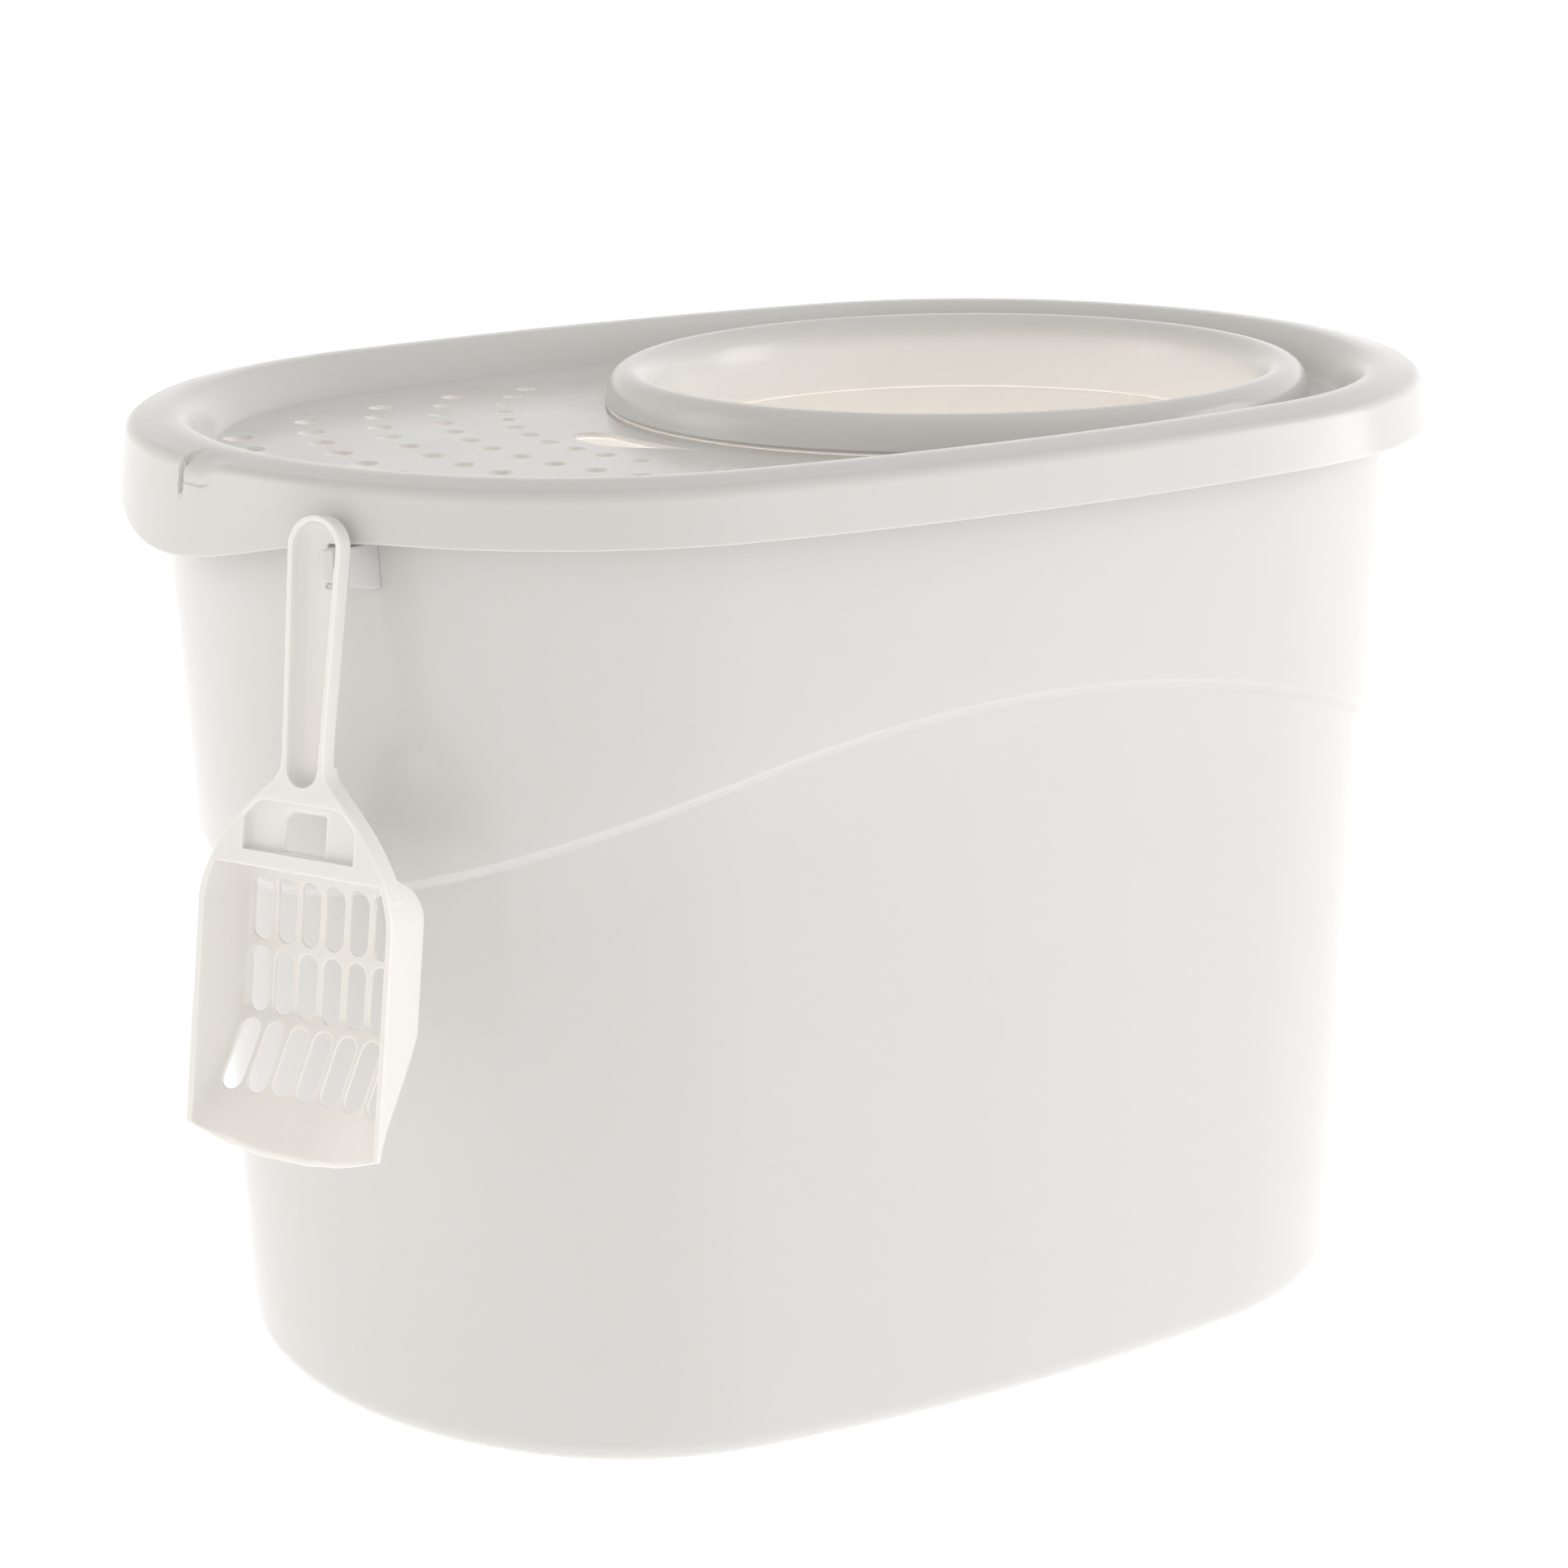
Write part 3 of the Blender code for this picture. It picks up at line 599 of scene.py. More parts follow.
def slot_share(angle, z):
    """1 inside a rim slot, 0 outside it; the slot's lower end is rounded and hooks to one side."""
    share = 0.0
    low = max(0.0, 1.0 - (z - SLOT_FLOOR_Z) / SLOT_CURL_HEIGHT)
    for centre in (SLOT_ANGLE, SLOT_ANGLE + math.pi):
        turn = abs(math.degrees(angle - centre) - SLOT_CURL_TURN * low * low)
        share = max(share, 1.0 - smooth_share((turn - SLOT_HALF_TURN) / SLOT_EDGE_TURN))
    return share * smooth_share((z - SLOT_FLOOR_Z + SLOT_END_BLEND) / (2.0 * SLOT_END_BLEND))


def notch_share(angle):
    """1 in the shallow dip of the rim beside each slot."""
    share = 0.0
    for centre, side in ((SLOT_ANGLE, -1.0), (SLOT_ANGLE + math.pi, 1.0)):
        turn = math.degrees((angle - centre + math.pi) % (2.0 * math.pi) - math.pi) * side
        rise = smooth_share((turn + NOTCH_START) / NOTCH_RISE_TURN)
        fall = 1.0 - smooth_share((turn - NOTCH_TURN + NOTCH_FALL_TURN) / NOTCH_FALL_TURN)
        share = max(share, rise * fall)
    return share


def lid_section(angle):
    """Plain upper side of the lid from its floor over the rim to the skirt's edge, as (offset, z)."""
    section = []
    for step in range(FALL_STEPS + 1):
        share = (1.0 - step / FALL_STEPS) ** FALL_SPREAD
        offset = -RIM_CREST - (RIM_FOOT - RIM_CREST) * share
        fall = 1.0 - (1.0 - share ** RIM_FALL_POWER) ** RIM_FOOT_POWER
        section.append((offset, RIM_Z - (RIM_Z - FLOOR_Z) * fall))
    shoulder = RIM_OUTER_ROUND * (1.0 - math.cos(RIM_OUTER_TURN))
    shoulder_z = RIM_SHOULDER_Z - RIM_OUTER_ROUND * (1.0 - math.sin(RIM_OUTER_TURN))
    for step in range(1, SLOPE_STEPS):
        share = 1.0 - step / SLOPE_STEPS
        rise = (share - SLOPE_BEND * share ** SLOPE_POWER) / (1.0 - SLOPE_BEND)
        offset = -shoulder - (RIM_CREST - shoulder) * share
        section.append((offset, shoulder_z + (RIM_Z - shoulder_z) * rise))
    for step in range(ROUND_STEPS + 1):
        turn = RIM_OUTER_TURN * (1.0 - step / ROUND_STEPS)
        offset = -RIM_OUTER_ROUND * (1.0 - math.cos(turn))
        section.append((offset, RIM_SHOULDER_Z - RIM_OUTER_ROUND * (1.0 - math.sin(turn))))
    high = RIM_SHOULDER_Z - RIM_OUTER_ROUND
    low = skirt_z(angle) + EDGE_ROUND
    for row in range(1, SKIRT_ROWS + 1):
        z = high + (low - high) * row / SKIRT_ROWS
        section.append((SKIRT_FLARE * (high - z) / (high - SKIRT_Z), z))
    return section


def carve_rim(angle, section):
    """Rim slots and the shallow dips beside them."""
    dip = notch_share(angle)
    carved = []
    for offset, z in section:
        if z > FLOOR_Z + RIM_CUT_RISE and dip > 0.0:
            z -= NOTCH_DEPTH * dip * smooth_share(1.0 + offset / NOTCH_REACH)
        reach = slot_share(angle, z)
        if offset > -SLOT_DEPTH and reach > 0.0:
            offset += (-SLOT_DEPTH - offset) * reach
        elif reach > 0.0:
            near_edge = smooth_share((offset + SLOT_DEPTH * SLOT_TOP_REACH) / SLOT_DEPTH)
            z -= SLOT_DEPTH * SLOT_TOP_SHARE * reach * near_edge
        carved.append((offset, z))
    return carved


def lid_under_section(section):
    """Underside of the lid, one wall below the upper side."""
    under = offset_path(section, -LID_WALL)
    under[0] = (section[0][0], FLOOR_Z - LID_WALL)
    return under


def crescent_points():
    outer = []
    inner = []
    for step in range(CRESCENT_STEPS + 1):
        share = (step / CRESCENT_STEPS) ** CRESCENT_SPREAD
        angle = CRESCENT_START + CRESCENT_SWEEP * share
        start = max(0.0, 1.0 - share / CRESCENT_BLUNT)
        swell = math.sqrt(max(1.0 - start ** 2, 0.0))
        tail = max(0.0, share - CRESCENT_FADE) / (1.0 - CRESCENT_FADE)
        fade = 0.5 + 0.5 * math.cos(math.pi * tail)
        near = CRESCENT_INNER_R + CRESCENT_DEPTH / 2.0 * (1.0 - swell)
        inner.append((angle, near))
        if 0 < step < CRESCENT_STEPS:
            outer.append((angle, near + CRESCENT_DEPTH * swell * fade))
    points = outer + list(reversed(inner))
    return [(ENTRY_X + r * math.cos(a), r * math.sin(a)) for a, r in points]


def polygon_offset(points, distance):
    """Closed polygon moved outwards along its corner normals."""
    area = 0.0
    count = len(points)
    for index in range(count):
        x0, y0 = points[index]
        x1, y1 = points[(index + 1) % count]
        area += x0 * y1 - x1 * y0
    side = 1.0 if area > 0.0 else -1.0
    moved = []
    for index in range(count):
        before = Vector(points[index - 1])
        after = Vector(points[(index + 1) % count])
        along = (after - before).normalized()
        x, y = points[index]
        moved.append((x + along.y * distance * side, y - along.x * distance * side))
    return moved


def hole_loops(bm, points):
    """Rounded hole through the lid's floor; returns its top and bottom loops."""
    under = FLOOR_Z - LID_WALL
    section = (
        (HOLE_ROUND, FLOOR_Z),
        (HOLE_ROUND * HOLE_ROUND_MID, FLOOR_Z - HOLE_ROUND * HOLE_ROUND_MID),
        (0.0, FLOOR_Z - HOLE_ROUND),
        (0.0, under + HOLE_ROUND),
        (HOLE_ROUND, under),
    )
    loops = []
    for grow, z in section:
        loops.append([bm.verts.new((x, y, z)) for x, y in polygon_offset(points, grow)])
    for upper, lower in zip(loops, loops[1:]):
        count = len(upper)
        for index in range(count):
            after = (index + 1) % count
            bm.faces.new((upper[index], upper[after], lower[after], lower[index]))
    return loops[0], loops[-1]


def build_lid():
    bm = bmesh.new()
    arcs = arcs_of(LID_TOP)
    angles = outline_angles()
    columns = []
    for angle in angles:
        plain = lid_section(angle)
        columns.append(carve_rim(angle, plain) + list(reversed(lid_under_section(plain))))
    loops = []
    for row in range(len(columns[0])):
        loop = []
        for angle, column in zip(angles, columns):
            offset, z = column[row]
            x, y = oval_point(arcs, offset, angle)
            loop.append(bm.verts.new((x, y, z)))
        loops.append(loop)
    bridge(bm, loops)
    top_outer, under_outer = loops[0], loops[-1]

    upper = smooth_path(COLLAR_SECTION, COLLAR_SUBSTEPS)
    under = offset_path(upper, -LID_WALL * COLLAR_WALL_SHARE)
    under[0] = (upper[0][0], FLOOR_Z - LID_WALL)
    section = upper + list(reversed(under))
    rings = []
    for radius, z in section:
        ring = []
        for step in range(COLLAR_STEPS):
            turn = 2.0 * math.pi * step / COLLAR_STEPS
            x = ENTRY_X + radius * math.cos(turn)
            ring.append(bm.verts.new((x, radius * math.sin(turn), z)))
        rings.append(ring)
    bridge(bm, rings)

    top_holes = [rings[0]]
    under_holes = [rings[-1]]
    for radius, count, spacing, hole in VENT_ROWS:
        for index in range(count):
            angle = math.pi + spacing / radius * (index - (count - 1) / 2.0)
            x = VENT_X + radius * math.cos(angle)
            y = radius * math.sin(angle)
            circle = []
            for side in range(VENT_SIDES):
                turn = 2.0 * math.pi * side / VENT_SIDES
                circle.append((x + hole * math.cos(turn), y + hole * math.sin(turn)))
            top, low = hole_loops(bm, circle)
            top_holes.append(top)
            under_holes.append(low)
    top, low = hole_loops(bm, crescent_points())
    top_holes.append(top)
    under_holes.append(low)
    fill_flat(bm, top_outer, top_holes, True)
    fill_flat(bm, under_outer, under_holes, False)
    bmesh.ops.recalc_face_normals(bm, faces=bm.faces)
    lid = add_piece("lid_shell", bm, LID_CREASE)
    for polygon in lid.data.polygons:
        if polygon.material_index == 1:
            polygon.use_smooth = False
            polygon.material_index = 0
    return lid


# ---------------------------------------------------------------- scoop

def scoop_half_width(z):
    """Half width of the scoop: the tapering handle blends into the curved shoulder."""
    share = min((z - HANDLE_ARC_Z) / (HANDLE_END_Z - HANDLE_ARC_Z), 1.0)
    handle = HANDLE_HALF_TOP + (HANDLE_HALF_LOW - HANDLE_HALF_TOP) * share
    share = (SHOULDER_HIGH_Z - z) / (SHOULDER_HIGH_Z - SHOULDER_LOW_Z)
    rise = SHOULDER_POWER * share
    if share > 0.0:
        rise = 1.0 - (1.0 - min(share, 1.0)) ** SHOULDER_POWER
    shoulder = HANDLE_HALF_LOW + (BASKET_HALF - HANDLE_HALF_LOW) * rise
    gap = handle - shoulder
    return (handle + shoulder + math.sqrt(gap * gap + SHOULDER_BLEND ** 2)) / 2.0


def arc_points(centre_z, radius, start, steps):
    points = []
    for step in range(steps + 1):
        angle = start - math.pi * step / steps
        points.append((radius * math.cos(angle), centre_z + radius * math.sin(angle)))
    return points


def edge_points(high, low, inset, steps):
    points = []
    for step in range(steps + 1):
        z = high + (low - high) * step / steps
        points.append((scoop_half_width(z) - inset, z))
    return points


def mirrored(right):
    return right + [(-x, z) for x, z in reversed(right)]


def closed_loft(name, sections):
    bm = bmesh.new()
    loops = [[bm.verts.new(point) for point in section] for section in sections]
    bridge(bm, loops)
    bm.faces.new(list(reversed(loops[0])))
    bm.faces.new(loops[-1])
    bmesh.ops.recalc_face_normals(bm, faces=bm.faces)
    return add_piece(name, bm)


def scoop_prism(name, points, front, back, draft=0.0):
    sections = []
    for depth, shrink in ((front, 0.0), (back, draft)):
        sections.append([(x - math.copysign(shrink, x), depth, z) for x, z in points])
    return closed_loft(name, sections)


def basket_depth(z):
    if z > BASKET_TOP_Z - BASKET_CROWN:
        share = 1.0 - (BASKET_TOP_Z - z) / BASKET_CROWN
        return HANDLE_DEPTH + (BASKET_DEPTH - HANDLE_DEPTH) * math.sqrt(1.0 - share ** 2)
    share = max(0.0, (RAMP_START_Z - z) / (RAMP_START_Z - LIP_Z))
    return BASKET_DEPTH + (LIP_DEPTH - BASKET_DEPTH) * share


def basket_section(z, inset, front, depth):
    half = scoop_half_width(z) - inset
    draft = BASKET_DRAFT * depth / BASKET_DEPTH
    fillet = min(BASKET_FILLET, depth * FILLET_LIMIT)
    right = [(half, front)]
    for step in range(FILLET_STEPS + 1):
        angle = math.pi / 2.0 * step / FILLET_STEPS
        x = half - draft - fillet * (1.0 - math.cos(angle))
        right.append((x, depth - fillet * (1.0 - math.sin(angle))))
    flat = half - draft - fillet
    right += [(flat * share, depth) for share in FLOOR_SHARES]
    rise = LIP_RISE * smooth_share((RAMP_START_Z - z) / (RAMP_START_Z - LIP_Z))
    section = [(x, y, z + rise * (x / BASKET_HALF) ** 2) for x, y in right]
    return section + [(-x, y, height) for x, y, height in reversed(section)]


def basket_heights(first, last):
    heights = [first]
    for step in range(1, CROWN_STEPS + 1):
        angle = math.pi / 2.0 * step / CROWN_STEPS
        heights.append(BASKET_TOP_Z - BASKET_CROWN * (1.0 - math.cos(angle)))
    heights = [z for z in heights if z <= first]
    for step in range(RAMP_STEPS):
        heights.append(RAMP_START_Z + (LIP_Z - RAMP_START_Z) * step / RAMP_STEPS)
    return heights + [last]


def sieve_cutters():
    cutters = []
    half = SIEVE_WIDTH / 2.0
    for row in range(SIEVE_ROWS):
        high = SIEVE_TOP_Z - row * (SIEVE_LENGTH + SIEVE_GAP)
        low = high - SIEVE_LENGTH
        for column in range(SIEVE_COLUMNS):
            x = SIEVE_PITCH * (column - (SIEVE_COLUMNS - 1) / 2.0)
            ends = arc_points(high - half, half, math.pi, SIEVE_END_STEPS)
            ends += arc_points(low + half, half, 0.0, SIEVE_END_STEPS)
            points = [(x + across, z) for across, z in ends]
            cutters.append(scoop_prism("sieve_helper", points, SIEVE_FRONT, BASKET_DEPTH + OVERRUN))
    return cutters


def rounded_cutter(name, outline_at, back, rounding):
    """Cutter that reaches from in front of the scoop to a floor with a rounded edge."""
    sections = [[(x, -OVERRUN, z) for x, z in outline_at(0.0)]]
    for step in range(FILLET_STEPS + 1):
        angle = math.pi / 2.0 * step / FILLET_STEPS
        inset = rounding * (1.0 - math.cos(angle))
        depth = back - rounding * (1.0 - math.sin(angle))
        sections.append([(x, depth, z) for x, z in outline_at(inset)])
    return closed_loft(name, sections)


def channel_outline(inset):
    top = HANDLE_HALF_TOP - SCOOP_WALL
    low = HANDLE_HALF_LOW - SCOOP_WALL
    points = arc_points(HANDLE_ARC_Z, top - inset, math.pi, OUTLINE_STEPS)
    return points + arc_points(CHANNEL_END_Z + low, low - inset, 0.0, OUTLINE_STEPS)


def recess_outline(inset):
    """Recess under the shoulder: it follows the shoulder, then runs straight down."""
    high = RECESS_HIGH_Z - inset
    low = RECESS_LOW_Z + inset
    corner = min(scoop_half_width(high) - RECESS_BORDER - inset, RECESS_HALF - inset)
    right = [(corner - across, high - down) for across, down in RECESS_CORNER]
    for x, z in edge_points(high, low, RECESS_BORDER + inset, OUTLINE_STEPS)[2:]:
        right.append((min(x, RECESS_HALF - inset), z))
    return mirrored(right)


def window_outline(inset):
    """Window with one round and one square upper corner."""
    points = []
    for side, corner in ((1.0, WINDOW_CORNERS[1]), (-1.0, WINDOW_CORNERS[0])):
        half = []
        for step in range(WINDOW_ARC_STEPS + 1):
            angle = math.pi / 2.0 * (1.0 - step / WINDOW_ARC_STEPS)
            x = WINDOW_HALF - inset - corner * (1.0 - math.cos(angle))
            half.append((side * x, WINDOW_HIGH_Z - inset - corner * (1.0 - math.sin(angle))))
        half.append((side * (WINDOW_HALF - inset), WINDOW_LOW_Z))
        points += half if side > 0.0 else list(reversed(half))
    return points


def scoop_cutters():
    floor = HANDLE_DEPTH - SCOOP_WALL
    channel = rounded_cutter("channel_helper", channel_outline, floor, CHANNEL_ROUND)
    recess = rounded_cutter("recess_helper", recess_outline, RECESS_FLOOR, RECESS_ROUND)
    sections = []
    for inset, depth in WINDOW_FLARE:
        points = window_outline(inset * MILLIMETRE)
        sections.append([(x, RECESS_FLOOR + depth * MILLIMETRE, z) for x, z in points])
    window = closed_loft("window_helper", sections)
    back_inset = SCOOP_WALL * BACK_RECESS_INSET
    back_points = mirrored(edge_points(BACK_RECESS_HIGH_Z, BACK_RECESS_LOW_Z, back_inset, OUTLINE_STEPS))
    back_floor = RECESS_FLOOR + RECESS_FLOOR_WALL
    hollow = scoop_prism("hollow_helper", back_points, back_floor, SHOULDER_DEPTH + OVERRUN)
    bm = bmesh.new()
    box(bm, (HANG_X[0], 0.0, HANG_LOW_Z), (HANG_X[1], HANDLE_DEPTH + OVERRUN, HANG_HIGH_Z))
    hang = add_piece("hang_helper", bm)
    sections = []
    for z in basket_heights(BASKET_TOP_Z - SCOOP_WALL, LIP_Z - OVERRUN / 5.0):
        depth = basket_depth(min(z + SCOOP_WALL / 2.0, BASKET_TOP_Z)) - SCOOP_WALL
        sections.append(basket_section(z, SCOOP_WALL, -OVERRUN, max(depth, SCOOP_WALL / 4.0)))
    inside = closed_loft("inside_helper", sections)
    return [channel, recess, hollow, window, hang, inside] + sieve_cutters()


def build_scoop():
    low = BASKET_TOP_Z - BASKET_CROWN / 2.0
    top = arc_points(HANDLE_ARC_Z, HANDLE_HALF_TOP, math.pi, HANDLE_ARC_STEPS)
    right = edge_points(HANDLE_ARC_Z, low, 0.0, BODY_STEPS)[1:]
    left = [(-x, z) for x, z in reversed(right)]
    scoop = scoop_prism("scoop_body", top + right + left, 0.0, HANDLE_DEPTH, draft=HANDLE_DRAFT)
    shoulder_points = mirrored(edge_points(SHOULDER_TOP_Z, low, 0.0, SHOULDER_STEPS))
    shoulder = scoop_prism(
        "shoulder_helper", shoulder_points, SHOULDER_FRONT, SHOULDER_DEPTH, draft=HANDLE_DRAFT,
    )
    add_modifier(scoop, "BOOLEAN", "shoulder", operation="UNION", solver="EXACT", object=shoulder)
    sections = []
    for z in basket_heights(BASKET_TOP_Z - BASKET_START, LIP_Z):
        sections.append(basket_section(z, 0.0, 0.0, basket_depth(z)))
    basket = closed_loft("basket_helper", sections)
    add_modifier(scoop, "BOOLEAN", "basket", operation="UNION", solver="EXACT", object=basket)
    cutters = scoop_cutters()
    for cutter in cutters:
        add_modifier(scoop, "BOOLEAN", cutter.name, operation="DIFFERENCE", solver="EXACT", object=cutter)
    apply_modifiers(scoop, drop=[shoulder, basket] + cutters)
    add_modifier(scoop, "REMESH", "even mesh", mode="VOXEL", voxel_size=SCOOP_VOXEL)
    add_modifier(scoop, "SMOOTH", "soft edges", factor=SMOOTH_FACTOR, iterations=SCOOP_SMOOTHING)
    add_modifier(scoop, "DECIMATE", "lighter", ratio=DECIMATE_RATIO)
    apply_modifiers(scoop)
    scoop.data.shade_smooth()
    scoop.matrix_world = scoop_placement()
    return scoop


def scoop_placement():
    inward = -Vector((math.cos(HOOK_AZIMUTH), math.sin(HOOK_AZIMUTH), 0.0))
    up = Vector((0.0, 0.0, 1.0))
    turn = Matrix((inward.cross(up), inward, up)).transposed().to_4x4()
    lean = Matrix.Rotation(-SCOOP_LEAN, 4, "X") @ Matrix.Rotation(SCOOP_ROLL, 4, "Y")
    return Matrix.Translation(SCOOP_APEX) @ turn @ lean


# ---------------------------------------------------------------- materials

def new_node(tree, kind, **settings):
    node = tree.nodes.new(kind)
    for key, value in settings.items():
        setattr(node, key, value)
    return node


def noise(tree, coords, scale, detail=2.0, roughness=0.5):
    node = new_node(tree, "ShaderNodeTexNoise")
    node.inputs["Scale"].default_value = scale
    node.inputs["Detail"].default_value = detail
    node.inputs["Roughness"].default_value = roughness
    tree.links.new(coords, node.inputs["Vector"])
    return node.outputs["Fac"]


def map_range(tree, value, low, high, to_low, to_high):
    node = new_node(tree, "ShaderNodeMapRange")
    node.inputs["From Min"].default_value = low
    node.inputs["From Max"].default_value = high
    node.inputs["To Min"].default_value = to_low
    node.inputs["To Max"].default_value = to_high
    tree.links.new(value, node.inputs["Value"])
    return node.outputs["Result"]


def moulded_plastic(name, base, roughness, seed):
    """Glossy polypropylene: faint cloudiness, soft moulding waves, fine orange peel, handling haze."""
    material = bpy.data.materials.new(name)
    material.use_nodes = True
    tree = material.node_tree
    shader = tree.nodes["Principled BSDF"]
    coords = new_node(tree, "ShaderNodeTexCoord").outputs["Object"]
    shift = new_node(tree, "ShaderNodeVectorMath", operation="ADD")
    shift.inputs[1].default_value = (seed, seed * 0.7, seed * 1.3)
    tree.links.new(coords, shift.inputs[0])
    place = shift.outputs["Vector"]

    cloud = map_range(tree, noise(tree, place, scale=7.0, detail=3.0), 0.3, 0.7, 0.0, 1.0)
    tint = new_node(tree, "ShaderNodeMix", data_type="RGBA")
    tint.inputs[6].default_value = (*[channel * CLOUD_TINT for channel in base], 1.0)
    tint.inputs[7].default_value = (*base, 1.0)
    tree.links.new(cloud, tint.inputs[0])
    speck = new_node(tree, "ShaderNodeTexVoronoi", feature="F1")
    speck.inputs["Scale"].default_value = SPECK_SCALE
    tree.links.new(place, speck.inputs["Vector"])
    dot = map_range(tree, speck.outputs["Distance"], 0.012, 0.022, 1.0, 0.0)
    marks = new_node(tree, "ShaderNodeMix", data_type="RGBA")
    marks.inputs[7].default_value = (*[channel * SPECK_TINT for channel in base], 1.0)
    tree.links.new(dot, marks.inputs[0])
    tree.links.new(tint.outputs[2], marks.inputs[6])
    tree.links.new(marks.outputs[2], shader.inputs["Base Color"])

    smear = noise(tree, place, scale=22.0, detail=5.0, roughness=0.6)
    haze = map_range(tree, smear, 0.35, 0.7, roughness, roughness + HAZE_ROUGHNESS)
    tree.links.new(haze, shader.inputs["Roughness"])
    waves = new_node(tree, "ShaderNodeBump")
    waves.inputs["Strength"].default_value = 0.12
    waves.inputs["Distance"].default_value = 0.002
    tree.links.new(noise(tree, place, scale=9.0, detail=1.0), waves.inputs["Height"])
    peel = new_node(tree, "ShaderNodeBump")
    peel.inputs["Strength"].default_value = 0.06
    peel.inputs["Distance"].default_value = 0.0002
    tree.links.new(noise(tree, place, scale=900.0, detail=2.0), peel.inputs["Height"])
    tree.links.new(waves.outputs["Normal"], peel.inputs["Normal"])
    tree.links.new(peel.outputs["Normal"], shader.inputs["Normal"])
    shader.inputs["IOR"].default_value = PLASTIC_IOR
    shader.inputs["Specular IOR Level"].default_value = 0.5
    shader.inputs["Subsurface Weight"].default_value = 1.0
    shader.inputs["Subsurface Radius"].default_value = SCATTER_RADIUS
    shader.inputs["Subsurface Scale"].default_value = SCATTER_SCALE
    return material


# ---------------------------------------------------------------- stage, light and camera

def add_floor():
    mesh = bpy.data.meshes.new("floor")
    signs = ((-1.0, -1.0), (1.0, -1.0), (1.0, 1.0), (-1.0, 1.0))
    corners = [(FLOOR_REACH * x, FLOOR_REACH * y, 0.0) for x, y in signs]
    mesh.from_pydata(corners, [], [(0, 1, 2, 3)])
    floor = bpy.data.objects.new("floor", mesh)
    floor.location.z = -FLOOR_DROP
    bpy.context.scene.collection.objects.link(floor)
    material = bpy.data.materials.new("pale floor")
    material.use_nodes = True
    shader = material.node_tree.nodes["Principled BSDF"]
    shader.inputs["Base Color"].default_value = (FLOOR_TONE, FLOOR_TONE, FLOOR_TONE, 1.0)
    shader.inputs["Emission Color"].default_value = (1.0, 1.0, 1.0, 1.0)
    shader.inputs["Emission Strength"].default_value = FLOOR_GLOW
    shader.inputs["Roughness"].default_value = 0.7
    shader.inputs["Specular IOR Level"].default_value = 0.2
    mesh.materials.append(material)


def add_area_light(name, location, target, size, energy, colour, in_gloss=True):
    """Soft light that the camera doesn't see; it can be kept out of reflections too."""
    data = bpy.data.lights.new(name, "AREA")
    data.shape = "RECTANGLE"
    data.size = size[0]
    data.size_y = size[1]
    data.energy = energy
    data.color = colour
    light = bpy.data.objects.new(name, data)
    light.location = location
    aim = Vector(target) - Vector(location)
    light.rotation_euler = aim.to_track_quat("-Z", "Y").to_euler()
    light.visible_camera = False
    light.visible_glossy = in_gloss
    bpy.context.scene.collection.objects.link(light)


def add_world():
    """Soft studio surround: brightest low on the right, dimmer overhead, warmest on the left."""
    world = bpy.data.worlds.new("studio")
    bpy.context.scene.world = world
    world.use_nodes = True
    tree = world.node_tree
    background = tree.nodes["Background"]
    direction = new_node(tree, "ShaderNodeTexCoord").outputs["Generated"]
    split = new_node(tree, "ShaderNodeSeparateXYZ")
    tree.links.new(direction, split.inputs[0])
    side = new_node(tree, "ShaderNodeVectorMath", operation="DOT_PRODUCT")
    side.inputs[1].default_value = SUN_SIDE
    tree.links.new(direction, side.inputs[0])
    around = new_node(tree, "ShaderNodeMix", data_type="RGBA")
    around.inputs[6].default_value = (*WORLD_LEFT, 1.0)
    around.inputs[7].default_value = (*WORLD_RIGHT, 1.0)
    tree.links.new(map_range(tree, side.outputs["Value"], -0.35, 0.95, 0.0, 1.0), around.inputs[0])
    upward = new_node(tree, "ShaderNodeMix", data_type="RGBA")
    upward.inputs[7].default_value = (*WORLD_TOP, 1.0)
    tree.links.new(around.outputs[2], upward.inputs[6])
    tree.links.new(map_range(tree, split.outputs["Z"], 0.05, 0.75, 0.0, 1.0), upward.inputs[0])
    tree.links.new(upward.outputs[2], background.inputs["Color"])
    background.inputs["Strength"].default_value = 1.0


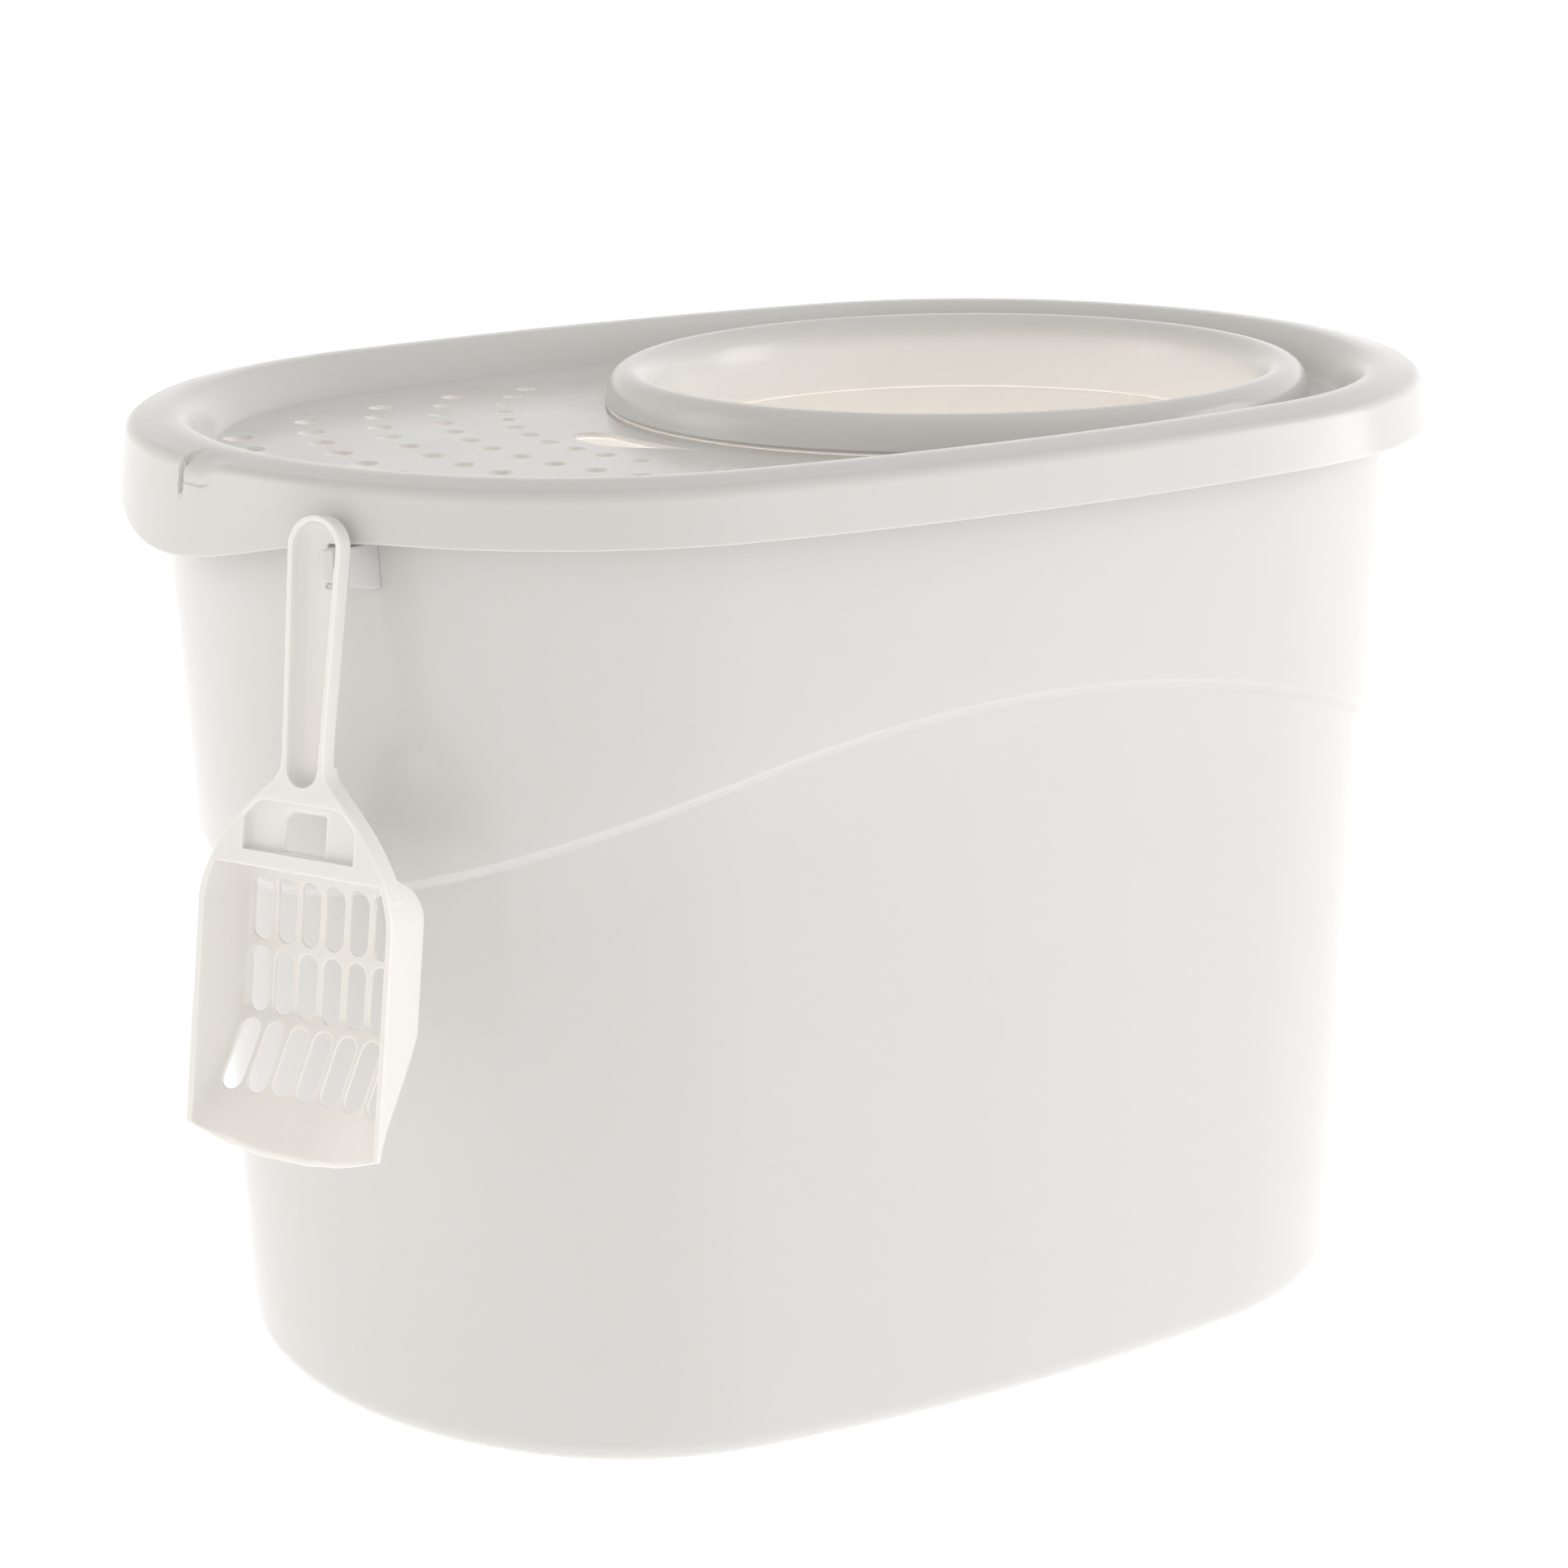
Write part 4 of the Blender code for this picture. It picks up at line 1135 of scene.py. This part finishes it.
def add_lights():
    add_world()
    add_area_light(
        "key", (2.3, -1.2, 0.9), LIGHT_AIM,
        size=(1.2, 1.6), energy=14.0, colour=(1.0, 1.0, 1.0),
    )
    add_area_light(
        "kicker", (-1.9, 1.1, 1.0), LIGHT_AIM,
        size=(1.0, 1.4), energy=5.0, colour=(1.0, 0.98, 0.95),
    )
    add_area_light(
        "inside fill", (0.0, 0.0, INSIDE_LIGHT_Z), (0.0, 0.0, RIM_Z),
        size=INSIDE_LIGHT_SIZE, energy=INSIDE_LIGHT_POWER, colour=(1.0, 0.965, 0.92), in_gloss=False,
    )


def add_camera():
    data = bpy.data.cameras.new("camera")
    data.lens = CAMERA_LENS
    data.sensor_width = SENSOR_WIDTH
    data.shift_x, data.shift_y = CAMERA_SHIFT
    data.clip_start, data.clip_end = CAMERA_CLIP
    camera = bpy.data.objects.new("camera", data)
    forward = (CAMERA_TARGET - CAMERA_EYE).normalized()
    right = forward.cross(Vector((0.0, 0.0, 1.0))).normalized()
    up = right.cross(forward)
    c = math.cos(CAMERA_ROLL)
    s = math.sin(CAMERA_ROLL)
    rolled_right = right * c + up * s
    rolled_up = up * c - right * s
    turn = Matrix((rolled_right, rolled_up, -forward)).transposed().to_4x4()
    camera.matrix_world = Matrix.Translation(CAMERA_EYE) @ turn
    bpy.context.scene.collection.objects.link(camera)
    bpy.context.scene.camera = camera


def main():
    tub = build_tub()
    hook = build_hook()
    lid = build_lid()
    scoop = build_scoop()
    tub_plastic = moulded_plastic(*TUB_PLASTIC)
    lid_plastic = moulded_plastic(*LID_PLASTIC)
    scoop_plastic = moulded_plastic(*SCOOP_PLASTIC)
    for piece, body, node, slot, material in (
        (tub, "tub", "litter_tub", "tub_plastic", tub_plastic),
        (hook, "tub", None, "tub_plastic", tub_plastic),
        (lid, "lid", "entry_lid", "lid_plastic", lid_plastic),
        (scoop, "scoop", "litter_scoop", "scoop_plastic", scoop_plastic),
    ):
        piece.data.materials.clear()
        piece.data.materials.append(material)
        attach(piece, body)
        if node:
            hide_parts(node)
    add_floor()
    add_lights()
    add_camera()
    scene = bpy.context.scene
    scene.view_settings.view_transform = "Standard"
    scene.cycles.diffuse_bounces = DIFFUSE_BOUNCES
    scene.cycles.max_bounces = DIFFUSE_BOUNCES + OTHER_BOUNCES


main()
